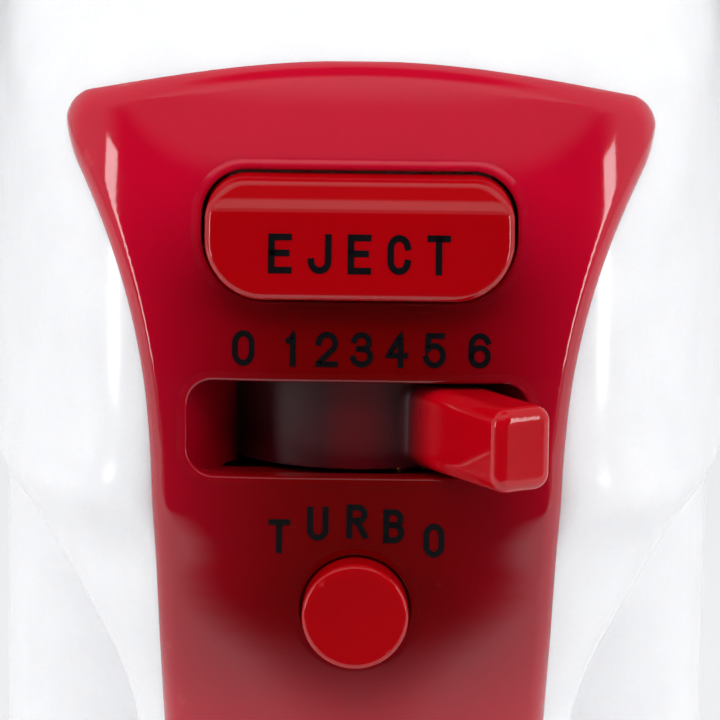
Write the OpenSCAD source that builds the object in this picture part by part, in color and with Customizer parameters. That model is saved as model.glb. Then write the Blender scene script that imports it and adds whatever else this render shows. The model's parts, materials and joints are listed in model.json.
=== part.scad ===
// Hand mixer, standing upright on its heel. All sizes are in millimetres.
// Origin: on the heel face, on the motor axis. +Z runs from the heel to the nose, -Y is the
// handle side with the controls, and +Y is the side that the beaters leave from.

/* [Body] */
// Length from the heel face to the nose
body_len = 198; // [196:1:200]
// Half width of the motor housing
pod_half_w = 45; // [44:0.5:46]
// Distance from the motor axis to the housing face that the beaters leave from
pod_low = 36; // [35:0.5:37]
// Distance from the motor axis to the housing face under the fingers
pod_top = 30; // [29:0.5:31]
// Wall thickness of the housings
wall = 3; // [2.6:0.1:3.2]

/* [Handle] */
// Distance from the motor axis to the highest part of the handle
handle_back = 92.5; // [92:0.1:93]
// Distance from the motor axis to the underside of the grip, at its front
grip_under = 63; // [62:0.5:64]
// Half width of the grip where it starts to flare into the hood
grip_half_w = 24.5; // [24:0.1:25]
// Height that the red cover stands proud of the housing
cover_proud = 1.3; // [1:0.1:1.5]
// Height where the cover ends at the front, on the centre line
cover_front = 171.5; // [170:0.5:172]

/* [Controls] */
// Half width of the eject button
eject_half_w = 17.2; // [16:0.1:18]
// Half height of the eject button
eject_half_h = 6.6; // [6:0.1:6.8]
// Radius of the turbo button
turbo_r = 6; // [5:0.1:6.2]
// Angle of the speed lever from the middle of its slot at each end of its travel
lever_swing = 33; // [30:1:33]
// Distance from the lever's pivot to its tip
lever_reach = 34; // [31:0.5:35]

/* [Beaters] */
// Outer radius of a beater
beater_r = 22; // [18:0.5:22.5]
// Distance from the motor axis to the tips of the beaters
beater_tip = 159; // [150:1:165]
// Width of a beater blade
blade_w = 5.5; // [4:0.1:6]
// Thickness of a beater blade
blade_t = 1.2; // [1:0.1:1.4]

/* [Hidden] */

red_plastic = [0.78, 0.02, 0.05];
white_plastic = [0.95, 0.95, 0.96];
dark_plastic = [0.13, 0.13, 0.14];
steel = [0.72, 0.73, 0.75];
copper = [0.80, 0.42, 0.22];
board_green = [0.10, 0.36, 0.20];

tiny = 0.01;
far = 400;

// Running clearance between a shaft and its bush
run_gap = 0.04;

// Outline of the housing
section_points = 24;
heel_face = 1;
heel_len = 22;
nose_start = 165;
nose_len = body_len - nose_start + 0.1;
crown_z = 128;
crown_len = body_len - crown_z + 0.2;
crown_drop = 50;
grip_bend = 90;
flare_start = 90;
flare_len = 32;
flare_gain = 19;
flare_power = 2.2;
parting_y = -4;
parting_gap = 0.4;

// Finger opening
opening_rear = 24;
opening_rear_r = 20;
opening_front_r = 25;
opening_bend = 88;

// Heights of the sections that the housing is built from
upper_slices = [
    heel_face, 3, 8, 15, 21, 25, 30, 36, 44, 66, 88, 96, 102, 107, 111, 114, 117, 120, 123,
    142, 154, nose_start, 174, 182, body_len - 9, body_len - 4, body_len - 1, body_len
];
pod_end = 126;
pod_slices = [heel_face, 4.5, 8, 15, 22, 112, pod_end];

// Speed lever and its drum
drum_y = -74.5;
drum_r = 16;
drum_low = 126.5;
drum_high = 136.5;
pin_r = 2.5;
slot_half_w = 19.1;
slot_low = 126.2;
slot_high = 136.9;
slot_r = 3;
detent_pitch = 2 * lever_swing / 6;

// Eject button and turbo button
eject_z = 153;
eject_face = 94;
eject_tilt = 13;
turbo_z = 111;
turbo_face = 97.4;

// Motor
shaft_r = 4;
worm_shaft_r = 2;
stack_low = 58;
stack_high = 88;
stack_half_w = 29;
stack_half_d = 22;
stack_corner = 5;
stator_bore = 16;
armature_r = 15.5;
slot_ring = 11.2;
wire_slot_r = 2.1;
bolt_x = 25.2;
bolt_y = 18.4;
bolt_r = 1.75;
fan_r = 25;
fan_low = 96;
fan_high = 106;
wire_slots = 12;

// Worm and gears
gear_x = 20;
gear_z = 152;
gear_teeth = 32;
gear_pitch_r = 16;
gear_tip_r = 16.7;
gear_root_r = 14.9;
gear_face = 9;
gear_twist = 8.06;
worm_low = 140;
worm_high = 164;
worm_lead = 6.2832;
worm_phase = 90 - 360 * (gear_z - worm_low) / worm_lead;
hub_r = 6.5;
hub_rear = -12;
hub_front = 38;
hub_bore = 3.06;
spindle_bush_r = 9;

// Beaters and ejector
shank_r = 3;
shank_end = -10;
pin_top = -22;
yoke_gap = 0.05;
blade_start = 58;
ferrule_r = 5.5;
tip_ferrule_r = 4;

// Screws
pod_screw_x = 36.5;
pod_screw_z = [44, 108];
nose_screw_z = 187;
frame_post_x = 31;
frame_post_y = 15;
frame_post_z = [130, 176];
handle_screw_z = [44, 100];

function clamp(v, low, high) = min(max(v, low), high);
function bent(v, n) = sign(v) * pow(abs(v), 2 / n);
function heel_round(z) = z < heel_len ? 1 - sqrt(1 - pow((heel_len - z) / heel_len, 2)) : 0;
function nose_round(z) = z > nose_start ? 1 - sqrt(1 - pow((z - nose_start) / nose_len, 2)) : 0;

// Line of the handle's back, as y at height z
function back_line(z) =
    z > crown_z
    ? -handle_back + crown_drop * (1 - sqrt(1 - pow((z - crown_z) / crown_len, 2)))
    : -handle_back
        + 0.0012 * pow(crown_z - max(z, grip_bend), 2)
        + 0.0912 * max(grip_bend - z, 0)
        + heel_len * heel_round(z);

// Line of the underside of the grip, and of the hood in front of the finger opening
function under_line(z) =
    z < opening_rear ? 5
    : z < opening_rear + opening_rear_r
    ? -pop_y - (under_rear - pop_y)
        * sqrt(max(1 - pow((opening_rear + opening_rear_r - z) / opening_rear_r, 2), 0))
    : z < opening_bend
    ? -under_rear - (grip_under - under_rear)
        * (z - opening_rear - opening_rear_r) / (opening_bend - opening_rear - opening_rear_r)
    : z < opening_bend + opening_front_r - 1
    ? -(grip_under - opening_front_r)
        - sqrt(pow(opening_front_r, 2) - pow(z - opening_bend, 2))
    : min(-45 + (z - opening_bend - opening_front_r + 1) * 8, front_line(z));
pop_y = pod_top + 2;
under_rear = grip_under - 3;

function front_line(z) = pod_low - 10 * heel_round(z) - 30 * nose_round(z);
function flare(z) =
    z > flare_start ? flare_gain * pow((z - flare_start) / flare_len, flare_power) : 0;
// The smaller of two values, rounded over a width where they cross
function soft_min(a, b, width) = min(a, b) - pow(max(width - abs(a - b), 0), 2) / (4 * width);
function upper_half_w(z) =
    soft_min(grip_half_w + 0.055 * (z - flare_start) + flare(z), pod_half_w, 4)
    - 27 * nose_round(z) - 4 * heel_round(z);
function pod_w(z) = pod_half_w - 13 * heel_round(z) - (z > pod_end - 1 ? 1.5 : 0);

// The hood is deeper than the grip, so its widest line lies lower and its back is flatter
function hood_share(z) = let (t = clamp((z - 110) / 14, 0, 1)) t * t * (3 - 2 * t);
function widest(z) = 0.5 + 0.242 * hood_share(z);
function back_power(z) = 2.6 + 1.2 * clamp((z - 95) / 27, 0, 1) - nose_round(z);
function front_power(z) = 2.6 + 0.2 * hood_share(z);

// Outer surface of the handle and hood, as y at x and z
function surface_y(x, z) = let (
        middle = back_line(z) + widest(z) * (under_line(z) - back_line(z)),
        n = back_power(z)
    )
    middle + (back_line(z) - middle) * pow(1 - pow(abs(x) / upper_half_w(z), n), 1 / n);

// One closed section across the body: a rounded box between two y lines. `share` places its
// widest line between them, and n_low and n_high shape the halves on each side of that line.
function section(z, half_w, y_low, y_high, share, n_low, n_high) = [
    for (i = [0 : section_points - 1])
        let (
            t = 360 * i / section_points,
            middle = y_low + share * (y_high - y_low),
            n = sin(t) < 0 ? n_low : n_high,
            depth = sin(t) < 0 ? middle - y_low : y_high - middle
        )
        [half_w * bent(cos(t), n), middle + depth * bent(sin(t), n), z]
];

// Height inside a form that is inset by `inset`, for a height on the outer form
function inner_z(z, inset) =
    heel_face + inset + (z - heel_face) * (body_len - heel_face - 2 * inset) / (body_len - heel_face);

function upper_sections(inset) = [
    for (z = upper_slices)
        section(
            inner_z(z, inset),
            upper_half_w(z) - inset,
            back_line(z) + inset,
            inset > 0
            ? min(under_line(z) - inset, under_line(z - inset), under_line(z + inset))
            : under_line(z) - inset,
            widest(z),
            back_power(z),
            front_power(z)
        )
];
function pod_sections(inset) = [
    for (z = pod_slices)
        section(
            z == heel_face ? z + inset : z,
            pod_w(z) - inset,
            -pod_top + 4 * heel_round(z) + inset,
            front_line(z) - inset,
            0.5,
            2.8,
            2.8
        )
];

// A solid through a list of closed sections with the same number of points
module loft(sections) {
    n = len(sections[0]);
    last = len(sections) - 1;
    polyhedron(
        points = [for (s = sections) each s],
        faces = [
            [for (i = [0 : n - 1]) i],
            for (k = [0 : last - 1], i = [0 : n - 1])
                let (a = k * n + i, b = k * n + (i + 1) % n)
                each [[a, a + n, b + n], [a, b + n, b]],
            [for (i = [n - 1 : -1 : 0]) last * n + i]
        ]
    );
}

module body_form(inset) {
    loft(upper_sections(inset));
    loft(pod_sections(inset));
}

// Half width of the cover at height z
function cover_half_w(z) =
    21.65 + 0.048 * (z - 96.9) + 8.6 * pow(max(z - 125, 0) / 36.5, 2.4);
cover_rear = 26;
cover_lowest_y = -72.5;
cover_corner_z = 162;
cover_arc_r = 115;
cover_corner_x = cover_half_w(cover_corner_z) - 1.7;

// Outline of the cover in x and z, seen from the handle side
cover_side = concat(
    [for (a = [0 : 15 : 75]) [
        cover_half_w(cover_rear) * sin(a),
        cover_rear - 9 * cos(a)
    ]],
    [for (z = [cover_rear, 60, 96, 118, 125, 131, 137, 142, 147, 151, 155, 158.5, cover_corner_z])
        [cover_half_w(z), z]],
    [for (a = [25 : 22 : 69]) [
        cover_corner_x + 2.2 * cos(a),
        cover_corner_z + 1.2 + 2.4 * sin(a)
    ]],
    [for (x = [cover_corner_x - 2 : -6.5 : 0.5]) [x, cover_front - x * x / (2 * cover_arc_r)]]
);
cover_outline = concat(
    cover_side,
    [for (i = [len(cover_side) - 1 : -1 : 1]) [-cover_side[i][0], cover_side[i][1]]]
);

// A prism along Y through the whole body, from an outline in x and z
module through_y(low = -far, high = far) {
    translate([0, high, 0]) rotate([90, 0, 0]) linear_extrude(high - low) children();
}

// A cylinder along +Y from y_low to y_high
module y_rod(x, z, y_low, y_high, r) {
    translate([x, y_low, z]) rotate([-90, 0, 0]) cylinder(r = r, h = y_high - y_low);
}

module z_rod(x, y, z_low, z_high, r) {
    translate([x, y, z_low]) cylinder(r = r, h = z_high - z_low);
}

// A box between two corners
module box(low, high) {
    translate(low) cube(high - low);
}

module mirrored_x() {
    children();
    mirror([1, 0, 0]) children();
}

// A slot with round ends through a side wall
module vent(y, z_low, z_high) {
    hull() {
        for (z = [z_low, z_high])
            translate([pod_half_w - 12, y, z]) rotate([0, 90, 0]) cylinder(r = 1.3, h = 20, $fn = 10);
    }
}

module eject_outline(grow) {
    hull() {
        for (x = [-1, 1])
            translate([x * (eject_half_w - eject_half_h), eject_z]) circle(eject_half_h + grow, $fn = 32);
    }
}

module slot_outline() {
    hull() {
        for (x = [-1, 1], z = [slot_low + slot_r, slot_high - slot_r])
            translate([x * (slot_half_w - slot_r), z]) circle(slot_r, $fn = 24);
    }
}

module shell() {
    difference() {
        body_form(0);
        body_form(wall);
    }
}

module upper_housing() {
    window_inset = 3;
    color(white_plastic) {
        difference() {
            union() {
                intersection() {
                    shell();
                    box([-far, -far, -far], [far, parting_y - parting_gap, far]);
                }
                intersection() {
                    body_form(1);
                    union() {
                        mirrored_x()
                            for (z = pod_screw_z)
                                y_rod(pod_screw_x, z, -pod_top, parting_y - parting_gap, 4, $fn = 20);
                        y_rod(0, nose_screw_z, -60, parting_y - parting_gap, 4, $fn = 20);
                    }
                }
            }
            difference() {
                through_y(-far, cover_lowest_y) offset(0.15) polygon(cover_outline);
                body_form(cover_proud + 0.25);
            }
            through_y(-far, cover_lowest_y) offset(-window_inset) polygon(cover_outline);
            mirrored_x()
                for (y = [-23, -18, -13, -8])
                    vent(y, 12, 40);
            mirrored_x()
                for (z = pod_screw_z)
                    y_rod(pod_screw_x, z, -26, 0, 1.6, $fn = 16);
            y_rod(0, nose_screw_z, -26, 0, 1.6, $fn = 16);
            for (z = handle_screw_z) {
                y_rod(0, z, -70, -50, 1.7, $fn = 16);
                y_rod(0, z, under_line(z) - 2.1, -50, 3.2, $fn = 20);
            }
            cord_hole(7.2);
            heel_pocket();
        }
    }
}

module lower_housing() {
    color(white_plastic) {
        difference() {
            union() {
                intersection() {
                    shell();
                    box([-far, parting_y, -far], [far, far, far]);
                }
                intersection() {
                    body_form(1);
                    union() {
                        mirrored_x() {
                            for (z = pod_screw_z)
                                y_rod(pod_screw_x, z, parting_y, 60, 4, $fn = 20);
                            for (z = frame_post_z)
                                y_rod(frame_post_x, z, frame_post_y + 0.2, 60, 3.5, $fn = 20);
                        }
                        y_rod(0, nose_screw_z, parting_y, 60, 4, $fn = 20);
                    }
                }
                mirrored_x() y_rod(gear_x, gear_z, 8.2, 41, 11, $fn = 48);
            }
            mirrored_x() {
                y_rod(gear_x, gear_z, 8, 16.2, spindle_bush_r + 0.1, $fn = 48);
                y_rod(gear_x, gear_z, 8, 50, 7.3, $fn = 48);
                for (y = [1, 7, 13, 19, 25])
                    vent(y, 12, 40);
                for (z = pod_screw_z)
                    y_rod(pod_screw_x, z, -10, 22, 1.9, $fn = 16);
                for (z = pod_screw_z)
                    y_rod(pod_screw_x, z, 22, 60, 3.4, $fn = 20);
                for (z = frame_post_z)
                    y_rod(frame_post_x, z, frame_post_y, 22, 1.6, $fn = 16);
            }
            y_rod(0, nose_screw_z, -10, 5, 1.9, $fn = 16);
            y_rod(0, nose_screw_z, 5, 60, 3.4, $fn = 20);
            heel_pocket();
        }
    }
}

// Rubber pad that the mixer stands on, set into a pocket in the heel face
pad_half_w = 27;
pad_low = -21;
pad_high = 20;
pad_corner = 8;
pad_seat = 3.4;

module pad_shape(grow) {
    translate([0, (pad_low + pad_high) / 2])
        rounded_plate(pad_half_w + grow, (pad_high - pad_low) / 2 + grow, pad_corner + grow);
}

module heel_pocket() {
    translate([0, 0, -1]) linear_extrude(1 + pad_seat - 0.1) pad_shape(0.2);
}

module heel_pad() {
    color(dark_plastic)
        difference() {
            linear_extrude(pad_seat - 0.2) pad_shape(0);
            for (x = [-15 : 6 : 15])
                box([x - 0.8, pad_low + 6, -1], [x + 0.8, pad_high - 6, 0.8]);
        }
}

// Cord gland: a short bush at the rear corner of the handle, at 45 degrees
gland_y = -78.6;
gland_z = 7.4;
gland_out = 2;
gland_in = 10;

module at_gland() {
    translate([0, gland_y, gland_z]) rotate([135, 0, 0]) children();
}

module cord_hole(r) {
    at_gland() translate([0, 0, -20]) cylinder(r = r, h = 40, $fn = 32);
}

module cord_gland() {
    color(dark_plastic)
        at_gland()
            difference() {
                union() {
                    translate([0, 0, -gland_in]) cylinder(r = 6.9, h = gland_in + gland_out, $fn = 48);
                    translate([0, 0, -gland_in]) cylinder(r = 8.5, h = 2, $fn = 48);
                }
                translate([0, 0, -gland_in - 1])
                    cylinder(r = 3.6, h = gland_in + gland_out + 2, $fn = 48);
            }
}

module handle_cover() {
    post_r = 3.5;
    color(red_plastic)
        difference() {
            union() {
                intersection() {
                    difference() {
                        loft(upper_sections(-cover_proud));
                        loft(upper_sections(cover_proud + 0.1));
                    }
                    through_y(-far, cover_lowest_y) polygon(cover_outline);
                }
                intersection() {
                    loft(upper_sections(0.5));
                    union() {
                        for (z = handle_screw_z)
                            y_rod(
                                0, z, -far,
                                min(under_line(z - post_r), under_line(z + post_r)) - wall - 0.2,
                                post_r, $fn = 20
                            );
                        through_y(-far, -82) eject_outline(2.2);
                    }
                }
                for (z = [32, 66, 84, 141])
                    mirrored_x() cover_clip(z);
            }
            through_y() eject_outline(0.6);
            through_y() slot_outline();
            y_rod(0, turbo_z, -far, far, turbo_r + 0.25, $fn = 48);
            for (z = handle_screw_z)
                y_rod(0, z, -86, -50, 1.4, $fn = 16);
        }
    color(red_plastic) mirrored_x() slot_cheek();
}

// A sloping wall from one end of the slot to just outside the drum
module slot_cheek() {
    front_x = slot_half_w;
    front_y = -91.8;
    drum_side = [13.6, -83.9];
    translate([0, 0, slot_low - 0.2])
        linear_extrude(slot_high - slot_low + 0.4)
            polygon([
                [front_x, front_y],
                [front_x + 1.4, front_y + 0.6],
                drum_side + [1, 0.5],
                drum_side
            ]);
}

// A snap clip that hangs from the inside of the cover, close to the housing's window edge
module cover_clip(z) {
    clip_x = cover_half_w(z) - 4.6;
    clip_y = surface_y(clip_x, z) + 0.6;
    hull() {
        box([clip_x - 1.4, clip_y, z - 3], [clip_x, clip_y + 5, z + 3]);
        box([clip_x - 1.2, clip_y + 5, z - 2.2], [clip_x - 0.6, clip_y + 6.4, z + 2.2]);
    }
}

module eject_button() {
    chamfer_up = 4;
    chamfer_tilt = 52;
    color(red_plastic)
        difference() {
            intersection() {
                through_y(-eject_face - 12, -83) eject_outline(0);
                translate([0, -eject_face, eject_z])
                    rotate([-eject_tilt, 0, 0])
                        box([-far, 0, -far], [far, far, far]);
                translate([0, tan(eject_tilt) * chamfer_up - eject_face, eject_z + chamfer_up])
                    rotate([-chamfer_tilt, 0, 0])
                        box([-far, 0, -far], [far, far, far]);
            }
            through_y(-86.5, -80) offset(-1.8) eject_outline(0);
        }
}

module eject_yoke() {
    stem_top = -86.5;
    bar_low = pin_top - 6 - yoke_gap;
    bar_high = pin_top - yoke_gap;
    color(dark_plastic)
        union() {
            box([-4, stem_top, eject_z - 3], [4, bar_low + 1, eject_z + 3]);
            box([-9, stem_top, eject_z - 4], [9, stem_top + 3.5, eject_z + 4]);
            box([-gear_x - 4, bar_low, eject_z - 5], [gear_x + 4, bar_high, eject_z + 3]);
        }
}

// A compression spring along Y, drawn as its separate turns
module spring_y(x, z, y_low, y_high, r, wire_r, turns) {
    pitch = (y_high - y_low - 2 * wire_r) / (turns - 1);
    for (i = [0 : turns - 1])
        translate([x, y_low + wire_r + i * pitch, z])
            rotate([90, 0, 0])
                rotate_extrude($fn = 48) translate([r, 0]) circle(wire_r, $fn = 16);
}

module eject_spring() {
    color(steel) spring_y(0, eject_z, -82.8, -46.3, 6.6, 0.55, 11);
}

module eject_guide() {
    color(dark_plastic)
        difference() {
            union() {
                box([-34, -46, eject_z - 9], [34, -43, eject_z + 9]);
                mirrored_x() box([31, -43.5, eject_z - 4], [34, -12, eject_z + 4]);
            }
            box([-4.3, -50, eject_z - 3.3], [4.3, -40, eject_z + 3.3]);
        }
}

// Speed lever: a part drum on a pivot pin, with an arm through the slot
module speed_lever() {
    arm_half_w = 3.7;
    tip_r = 1.2;
    rim = 3;
    color(red_plastic)
        translate([0, drum_y, 0])
            rotate([0, 0, lever_swing])
                difference() {
                    union() {
                        intersection() {
                            difference() {
                                z_rod(0, 0, drum_low, drum_high, drum_r, $fn = 96);
                                z_rod(0, 0, drum_low - 1, drum_high + 1, drum_r - rim, $fn = 96);
                            }
                            translate([0, 0, drum_low - 1])
                                linear_extrude(12)
                                    polygon([[0, 0], [-40, 1.5], [-40, -40], [22, -40]]);
                        }
                        z_rod(0, 0, drum_low, drum_low + 2.5, 10, $fn = 72);
                        z_rod(0, 0, drum_low, drum_high, 5, $fn = 48);
                        box([-2, -15, drum_low], [2, 0, drum_high]);
                        rotate([0, 0, -60]) box([-1.5, -15, drum_low], [1.5, 0, drum_low + 5]);
                        box(
                            [-arm_half_w, -lever_reach + tip_r, drum_low + 0.2],
                            [arm_half_w, -drum_r + 2, drum_high - 0.3]
                        );
                        box(
                            [tip_r - arm_half_w, -lever_reach, drum_low + 0.2],
                            [arm_half_w - tip_r, -drum_r, drum_high - 0.3]
                        );
                        for (x = [tip_r - arm_half_w, arm_half_w - tip_r])
                            z_rod(x, tip_r - lever_reach, drum_low + 0.2, drum_high - 0.3, tip_r, $fn = 48);
                    }
                    z_rod(0, 0, drum_low - 1, drum_high + 1, pin_r + 0.06, $fn = 48);
                    for (i = [0 : 6])
                        rotate([0, 0, -lever_swing + i * detent_pitch])
                            z_rod(0, 10.6, drum_low - 1, drum_low + 4, 1.3, $fn = 24);
                }
}

module lever_pivot_pin() {
    color(steel)
        union() {
            z_rod(0, drum_y, 118.6, 140.6, pin_r, $fn = 48);
            z_rod(0, drum_y, 140.6, 141.8, 4, $fn = 48);
        }
}

module wiper_contact() {
    color(copper)
        translate([0, drum_y, 0])
            rotate([0, 0, lever_swing])
                difference() {
                    union() {
                        z_rod(0, 0, drum_low - 0.8, drum_low, 6.5, $fn = 48);
                        for (x = [-2.4, 1.2]) {
                            box([x, -12, drum_low - 0.8], [x + 1.2, -4, drum_low]);
                            box([x, -12, 122.8], [x + 1.2, -11.2, drum_low]);
                        }
                    }
                    z_rod(0, 0, drum_low - 2, drum_low + 1, 3, $fn = 48);
                }
}

module contact_board() {
    color(board_green)
        difference() {
            box([-17, -84.8, 120.8], [17, -59, 122.4]);
            z_rod(0, drum_y, 120, 123, pin_r + 0.6, $fn = 48);
        }
    color(copper)
        for (i = [0 : 6])
            translate([0, drum_y, 0])
                rotate([0, 0, lever_swing - i * detent_pitch])
                    box([-0.8, -9, 122.4], [0.8, -7, 122.7]);
}

module detent_spring() {
    color(steel) {
        z_rod(0, drum_y + 10.55, drum_low + 0.1, drum_low + 2.4, 1.15, $fn = 32);
        box([-0.9, drum_y + 11.7, drum_low + 0.1], [0.9, -58.15, drum_low + 2.4]);
        box([-9, -58.5, drum_low - 2], [9, -58.1, drum_low + 4.5]);
    }
}

module switch_carrier() {
    color(dark_plastic)
        difference() {
            union() {
                box([-18, -84.8, 118.6], [18, -55.6, 120.6]);
                box([-15, -84.8, 137.5], [15, -55.6, 140.5]);
                box([-18, -58, 118.6], [18, -55.6, 140.5]);
                box([-11, -72.8, 106], [11, -70.8, 119]);
            }
            z_rod(0, drum_y, 110, 150, pin_r, $fn = 48);
        }
}

module turbo_button() {
    color(red_plastic)
        union() {
            y_rod(0, turbo_z, -turbo_face, -89.5, turbo_r, $fn = 96);
            y_rod(0, turbo_z, -89.9, -89, turbo_r + 1, $fn = 96);
            y_rod(0, turbo_z, -90, -86, 2, $fn = 48);
        }
}

module turbo_plunger() {
    color(dark_plastic) y_rod(0, turbo_z, -85.95, -81.5, 1.2, $fn = 32);
}

module turbo_spring() {
    color(steel) spring_y(0, turbo_z, -88.9, -83.2, 3.6, 0.3, 5);
}

module turbo_switch() {
    color(dark_plastic)
        difference() {
            box([-10, -83, turbo_z - 3.3], [10, -73, turbo_z + 3.3]);
            y_rod(0, turbo_z, -84, -78.6, 1.4, $fn = 32);
            for (x = [-6.5, 6.5])
                z_rod(x, -76, turbo_z - 5, turbo_z + 5, 1.2, $fn = 24);
        }
}

// Electronics in the grip
board_low = 52;
board_high = 93;
board_front = -73;

module control_board() {
    color(board_green)
        difference() {
            box([-15, board_front, board_low], [15, board_front + 1.6, board_high]);
            for (x = [-12.5, 12.5], z = [board_low + 3, board_high - 3])
                y_rod(x, z, board_front - 1, board_front + 3, 1.5, $fn = 24);
        }
}

module suppression_capacitor() {
    color([0.85, 0.72, 0.15]) box([-13, -83, 58], [4, board_front, 66]);
    color(steel)
        for (x = [-11, 2])
            y_rod(x, 62, board_front + 1.6, board_front + 3, 0.4, $fn = 16);
}

module triac() {
    color(dark_plastic) box([-12, -77.4, 74], [-2, -73.2, 83]);
    color(steel)
        difference() {
            box([-12, -78.7, 74], [-2, -77.4, 89.5]);
            y_rod(-7, 86.5, -80, -76, 1.6, $fn = 24);
        }
}

module heat_sink() {
    color([0.7, 0.71, 0.73])
        union() {
            box([-13, -80.2, 72], [-1, -78.7, 91]);
            for (x = [-13, -9.4, -5.8, -2.2])
                box([x, -83.6, 72], [x + 1.2, -80, 91]);
        }
}

module choke() {
    ring_r = 4.4;
    ring_w = 3.4;
    ring_h = 6;
    turn_gap = 0.1;
    translate([7.5, -77.2, 80]) {
        color([0.25, 0.28, 0.26])
            rotate([90, 0, 0])
                rotate_extrude($fn = 64) translate([ring_r, 0]) square([ring_w, ring_h], center = true);
        color(copper)
            for (i = [0 : 9])
                rotate([0, 36 * i, 0])
                    translate([ring_r, 0, 0])
                        difference() {
                            cube([ring_w + 1.2, ring_h + 1.2, 0.8], center = true);
                            cube([ring_w + 2 * turn_gap, ring_h + 2 * turn_gap, 2], center = true);
                        }
    }
}

module terminal_block() {
    color([0.90, 0.90, 0.86])
        difference() {
            box([-11, -80, 28], [11, -70, 38]);
            for (x = [-6, 6]) {
                z_rod(x, -75, 27, 39, 1.6, $fn = 24);
                y_rod(x, 33, -81, -76, 2, $fn = 24);
            }
        }
}

// Motor
module rounded_plate(half_w, half_d, r) {
    square([2 * half_w, 2 * (half_d - r)], center = true);
    square([2 * (half_w - r), 2 * half_d], center = true);
    for (x = [-1, 1], y = [-1, 1])
        translate([x * (half_w - r), y * (half_d - r)]) circle(r, $fn = 48);
}

module motor_stator() {
    window_x = 22.5;
    window_y = 17.6;
    window_w = 6.2;
    window_d = 7.6;
    channel = 1.7;
    color([0.45, 0.46, 0.48])
        translate([0, 0, stack_low])
            linear_extrude(stack_high - stack_low)
                difference() {
                    rounded_plate(stack_half_w, stack_half_d, stack_corner);
                    circle(stator_bore, $fn = 96);
                    square([15, 2 * window_y], center = true);
                    for (x = [-1, 1], y = [-1, 1]) {
                        translate([x * window_x / 2, y * (window_y - channel / 2)])
                            square([window_x, channel], center = true);
                        translate([x * (window_x - window_w / 2), y * (window_y - window_d / 2)])
                            square([window_w, window_d], center = true);
                        translate([x * bolt_x, y * bolt_y]) circle(bolt_r + 0.1, $fn = 24);
                    }
                }
}

module field_coils() {
    color(copper)
        mirrored_x()
            difference() {
                box([16.9, -17.2, 50.4], [22, 17.2, 95.6]);
                box([16, -10.3, stack_low - 0.4], [23, 10.3, stack_high + 0.4]);
            }
}

module bolt_group() {
    for (x = [-1, 1], y = [-1, 1])
        translate([x * bolt_x, y * bolt_y, 0]) children();
}

module motor_bolts() {
    color(steel)
        bolt_group()
            union() {
                translate([0, 0, 26]) cylinder(r = bolt_r, h = 92, $fn = 24);
                translate([0, 0, 118]) cylinder(r = 3, h = 2, $fn = 6);
            }
}

// A plate across the motor with a hub for its bush and two air holes
module bearing_bracket(plate_z, hub_low, hub_high) {
    difference() {
        union() {
            translate([0, 0, plate_z])
                linear_extrude(3) {
                    rounded_plate(stack_half_w, stack_half_d, stack_corner);
                    square([78, 16], center = true);
                }
            z_rod(0, 0, hub_low, hub_high, 9.5, $fn = 64);
        }
        z_rod(0, 0, hub_low - 1, hub_high + 1, 7, $fn = 64);
        bolt_group() translate([0, 0, plate_z - 5]) cylinder(r = bolt_r + 0.1, h = 12, $fn = 24);
        for (x = [-18, 18])
            z_rod(x, 0, plate_z - 5, plate_z + 8, 5, $fn = 48);
    }
}

module rear_bearing_bracket() {
    color([0.82, 0.82, 0.80]) bearing_bracket(28, 25, 36);
}

module front_bearing_bracket() {
    color([0.70, 0.71, 0.73]) bearing_bracket(114, 110, 121);
}

module bearing_bushes() {
    color([0.72, 0.55, 0.30])
        for (z = [25.5, 110.5])
            difference() {
                z_rod(0, 0, z, z + 10, 7, $fn = 64);
                z_rod(0, 0, z - 1, z + 11, shaft_r + run_gap, $fn = 64);
            }
}

brush_z = 43.5;

module brush_holders() {
    color(dark_plastic)
        mirrored_x()
            difference() {
                box([12, -4.5, brush_z - 5], [28, 4.5, brush_z + 5]);
                box([11, -3.1, brush_z - 3.6], [29, 3.1, brush_z + 3.6]);
            }
    color(dark_plastic)
        mirrored_x() box([25, -4.5, 31], [28, 4.5, brush_z - 5]);
}

module carbon_brushes() {
    color([0.2, 0.2, 0.21])
        mirrored_x()
            difference() {
                box([9.6, -3, brush_z - 3.5], [24, 3, brush_z + 3.5]);
                z_rod(0, 0, brush_z - 6, brush_z + 6, 10.1, $fn = 96);
            }
}

module armature_core() {
    color([0.42, 0.43, 0.45])
        translate([0, 0, stack_low])
            linear_extrude(stack_high - stack_low)
                difference() {
                    circle(armature_r, $fn = 96);
                    circle(shaft_r, $fn = 48);
                    for (i = [0 : wire_slots - 1])
                        rotate(360 / wire_slots * i) {
                            translate([slot_ring, 0]) circle(wire_slot_r, $fn = 32);
                            translate([slot_ring, -0.8]) square([6, 1.6]);
                        }
                }
}

module armature_windings() {
    overhang = 7.4;
    color(copper)
        union() {
            for (z = [stack_low - overhang, stack_high])
                difference() {
                    z_rod(0, 0, z, z + overhang, 13.8, $fn = 64);
                    z_rod(0, 0, z - 1, z + overhang + 1, shaft_r + 0.2, $fn = 48);
                }
            for (i = [0 : wire_slots - 1])
                rotate([0, 0, 360 / wire_slots * i])
                    z_rod(slot_ring, 0, stack_low - 1, stack_high + 1, wire_slot_r - 0.2, $fn = 32);
        }
}

module commutator() {
    segments = 24;
    color(copper)
        difference() {
            z_rod(0, 0, 38, 49.6, 10, $fn = 96);
            z_rod(0, 0, 37, 51, 7, $fn = 64);
            for (i = [0 : segments - 1])
                rotate([0, 0, 360 / segments * i]) box([9, -0.25, 37], [11, 0.25, 51]);
        }
}

module commutator_hub() {
    color([0.30, 0.16, 0.10])
        difference() {
            z_rod(0, 0, 37.4, 50.2, 7, $fn = 64);
            z_rod(0, 0, 36, 52, shaft_r, $fn = 64);
        }
}

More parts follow.
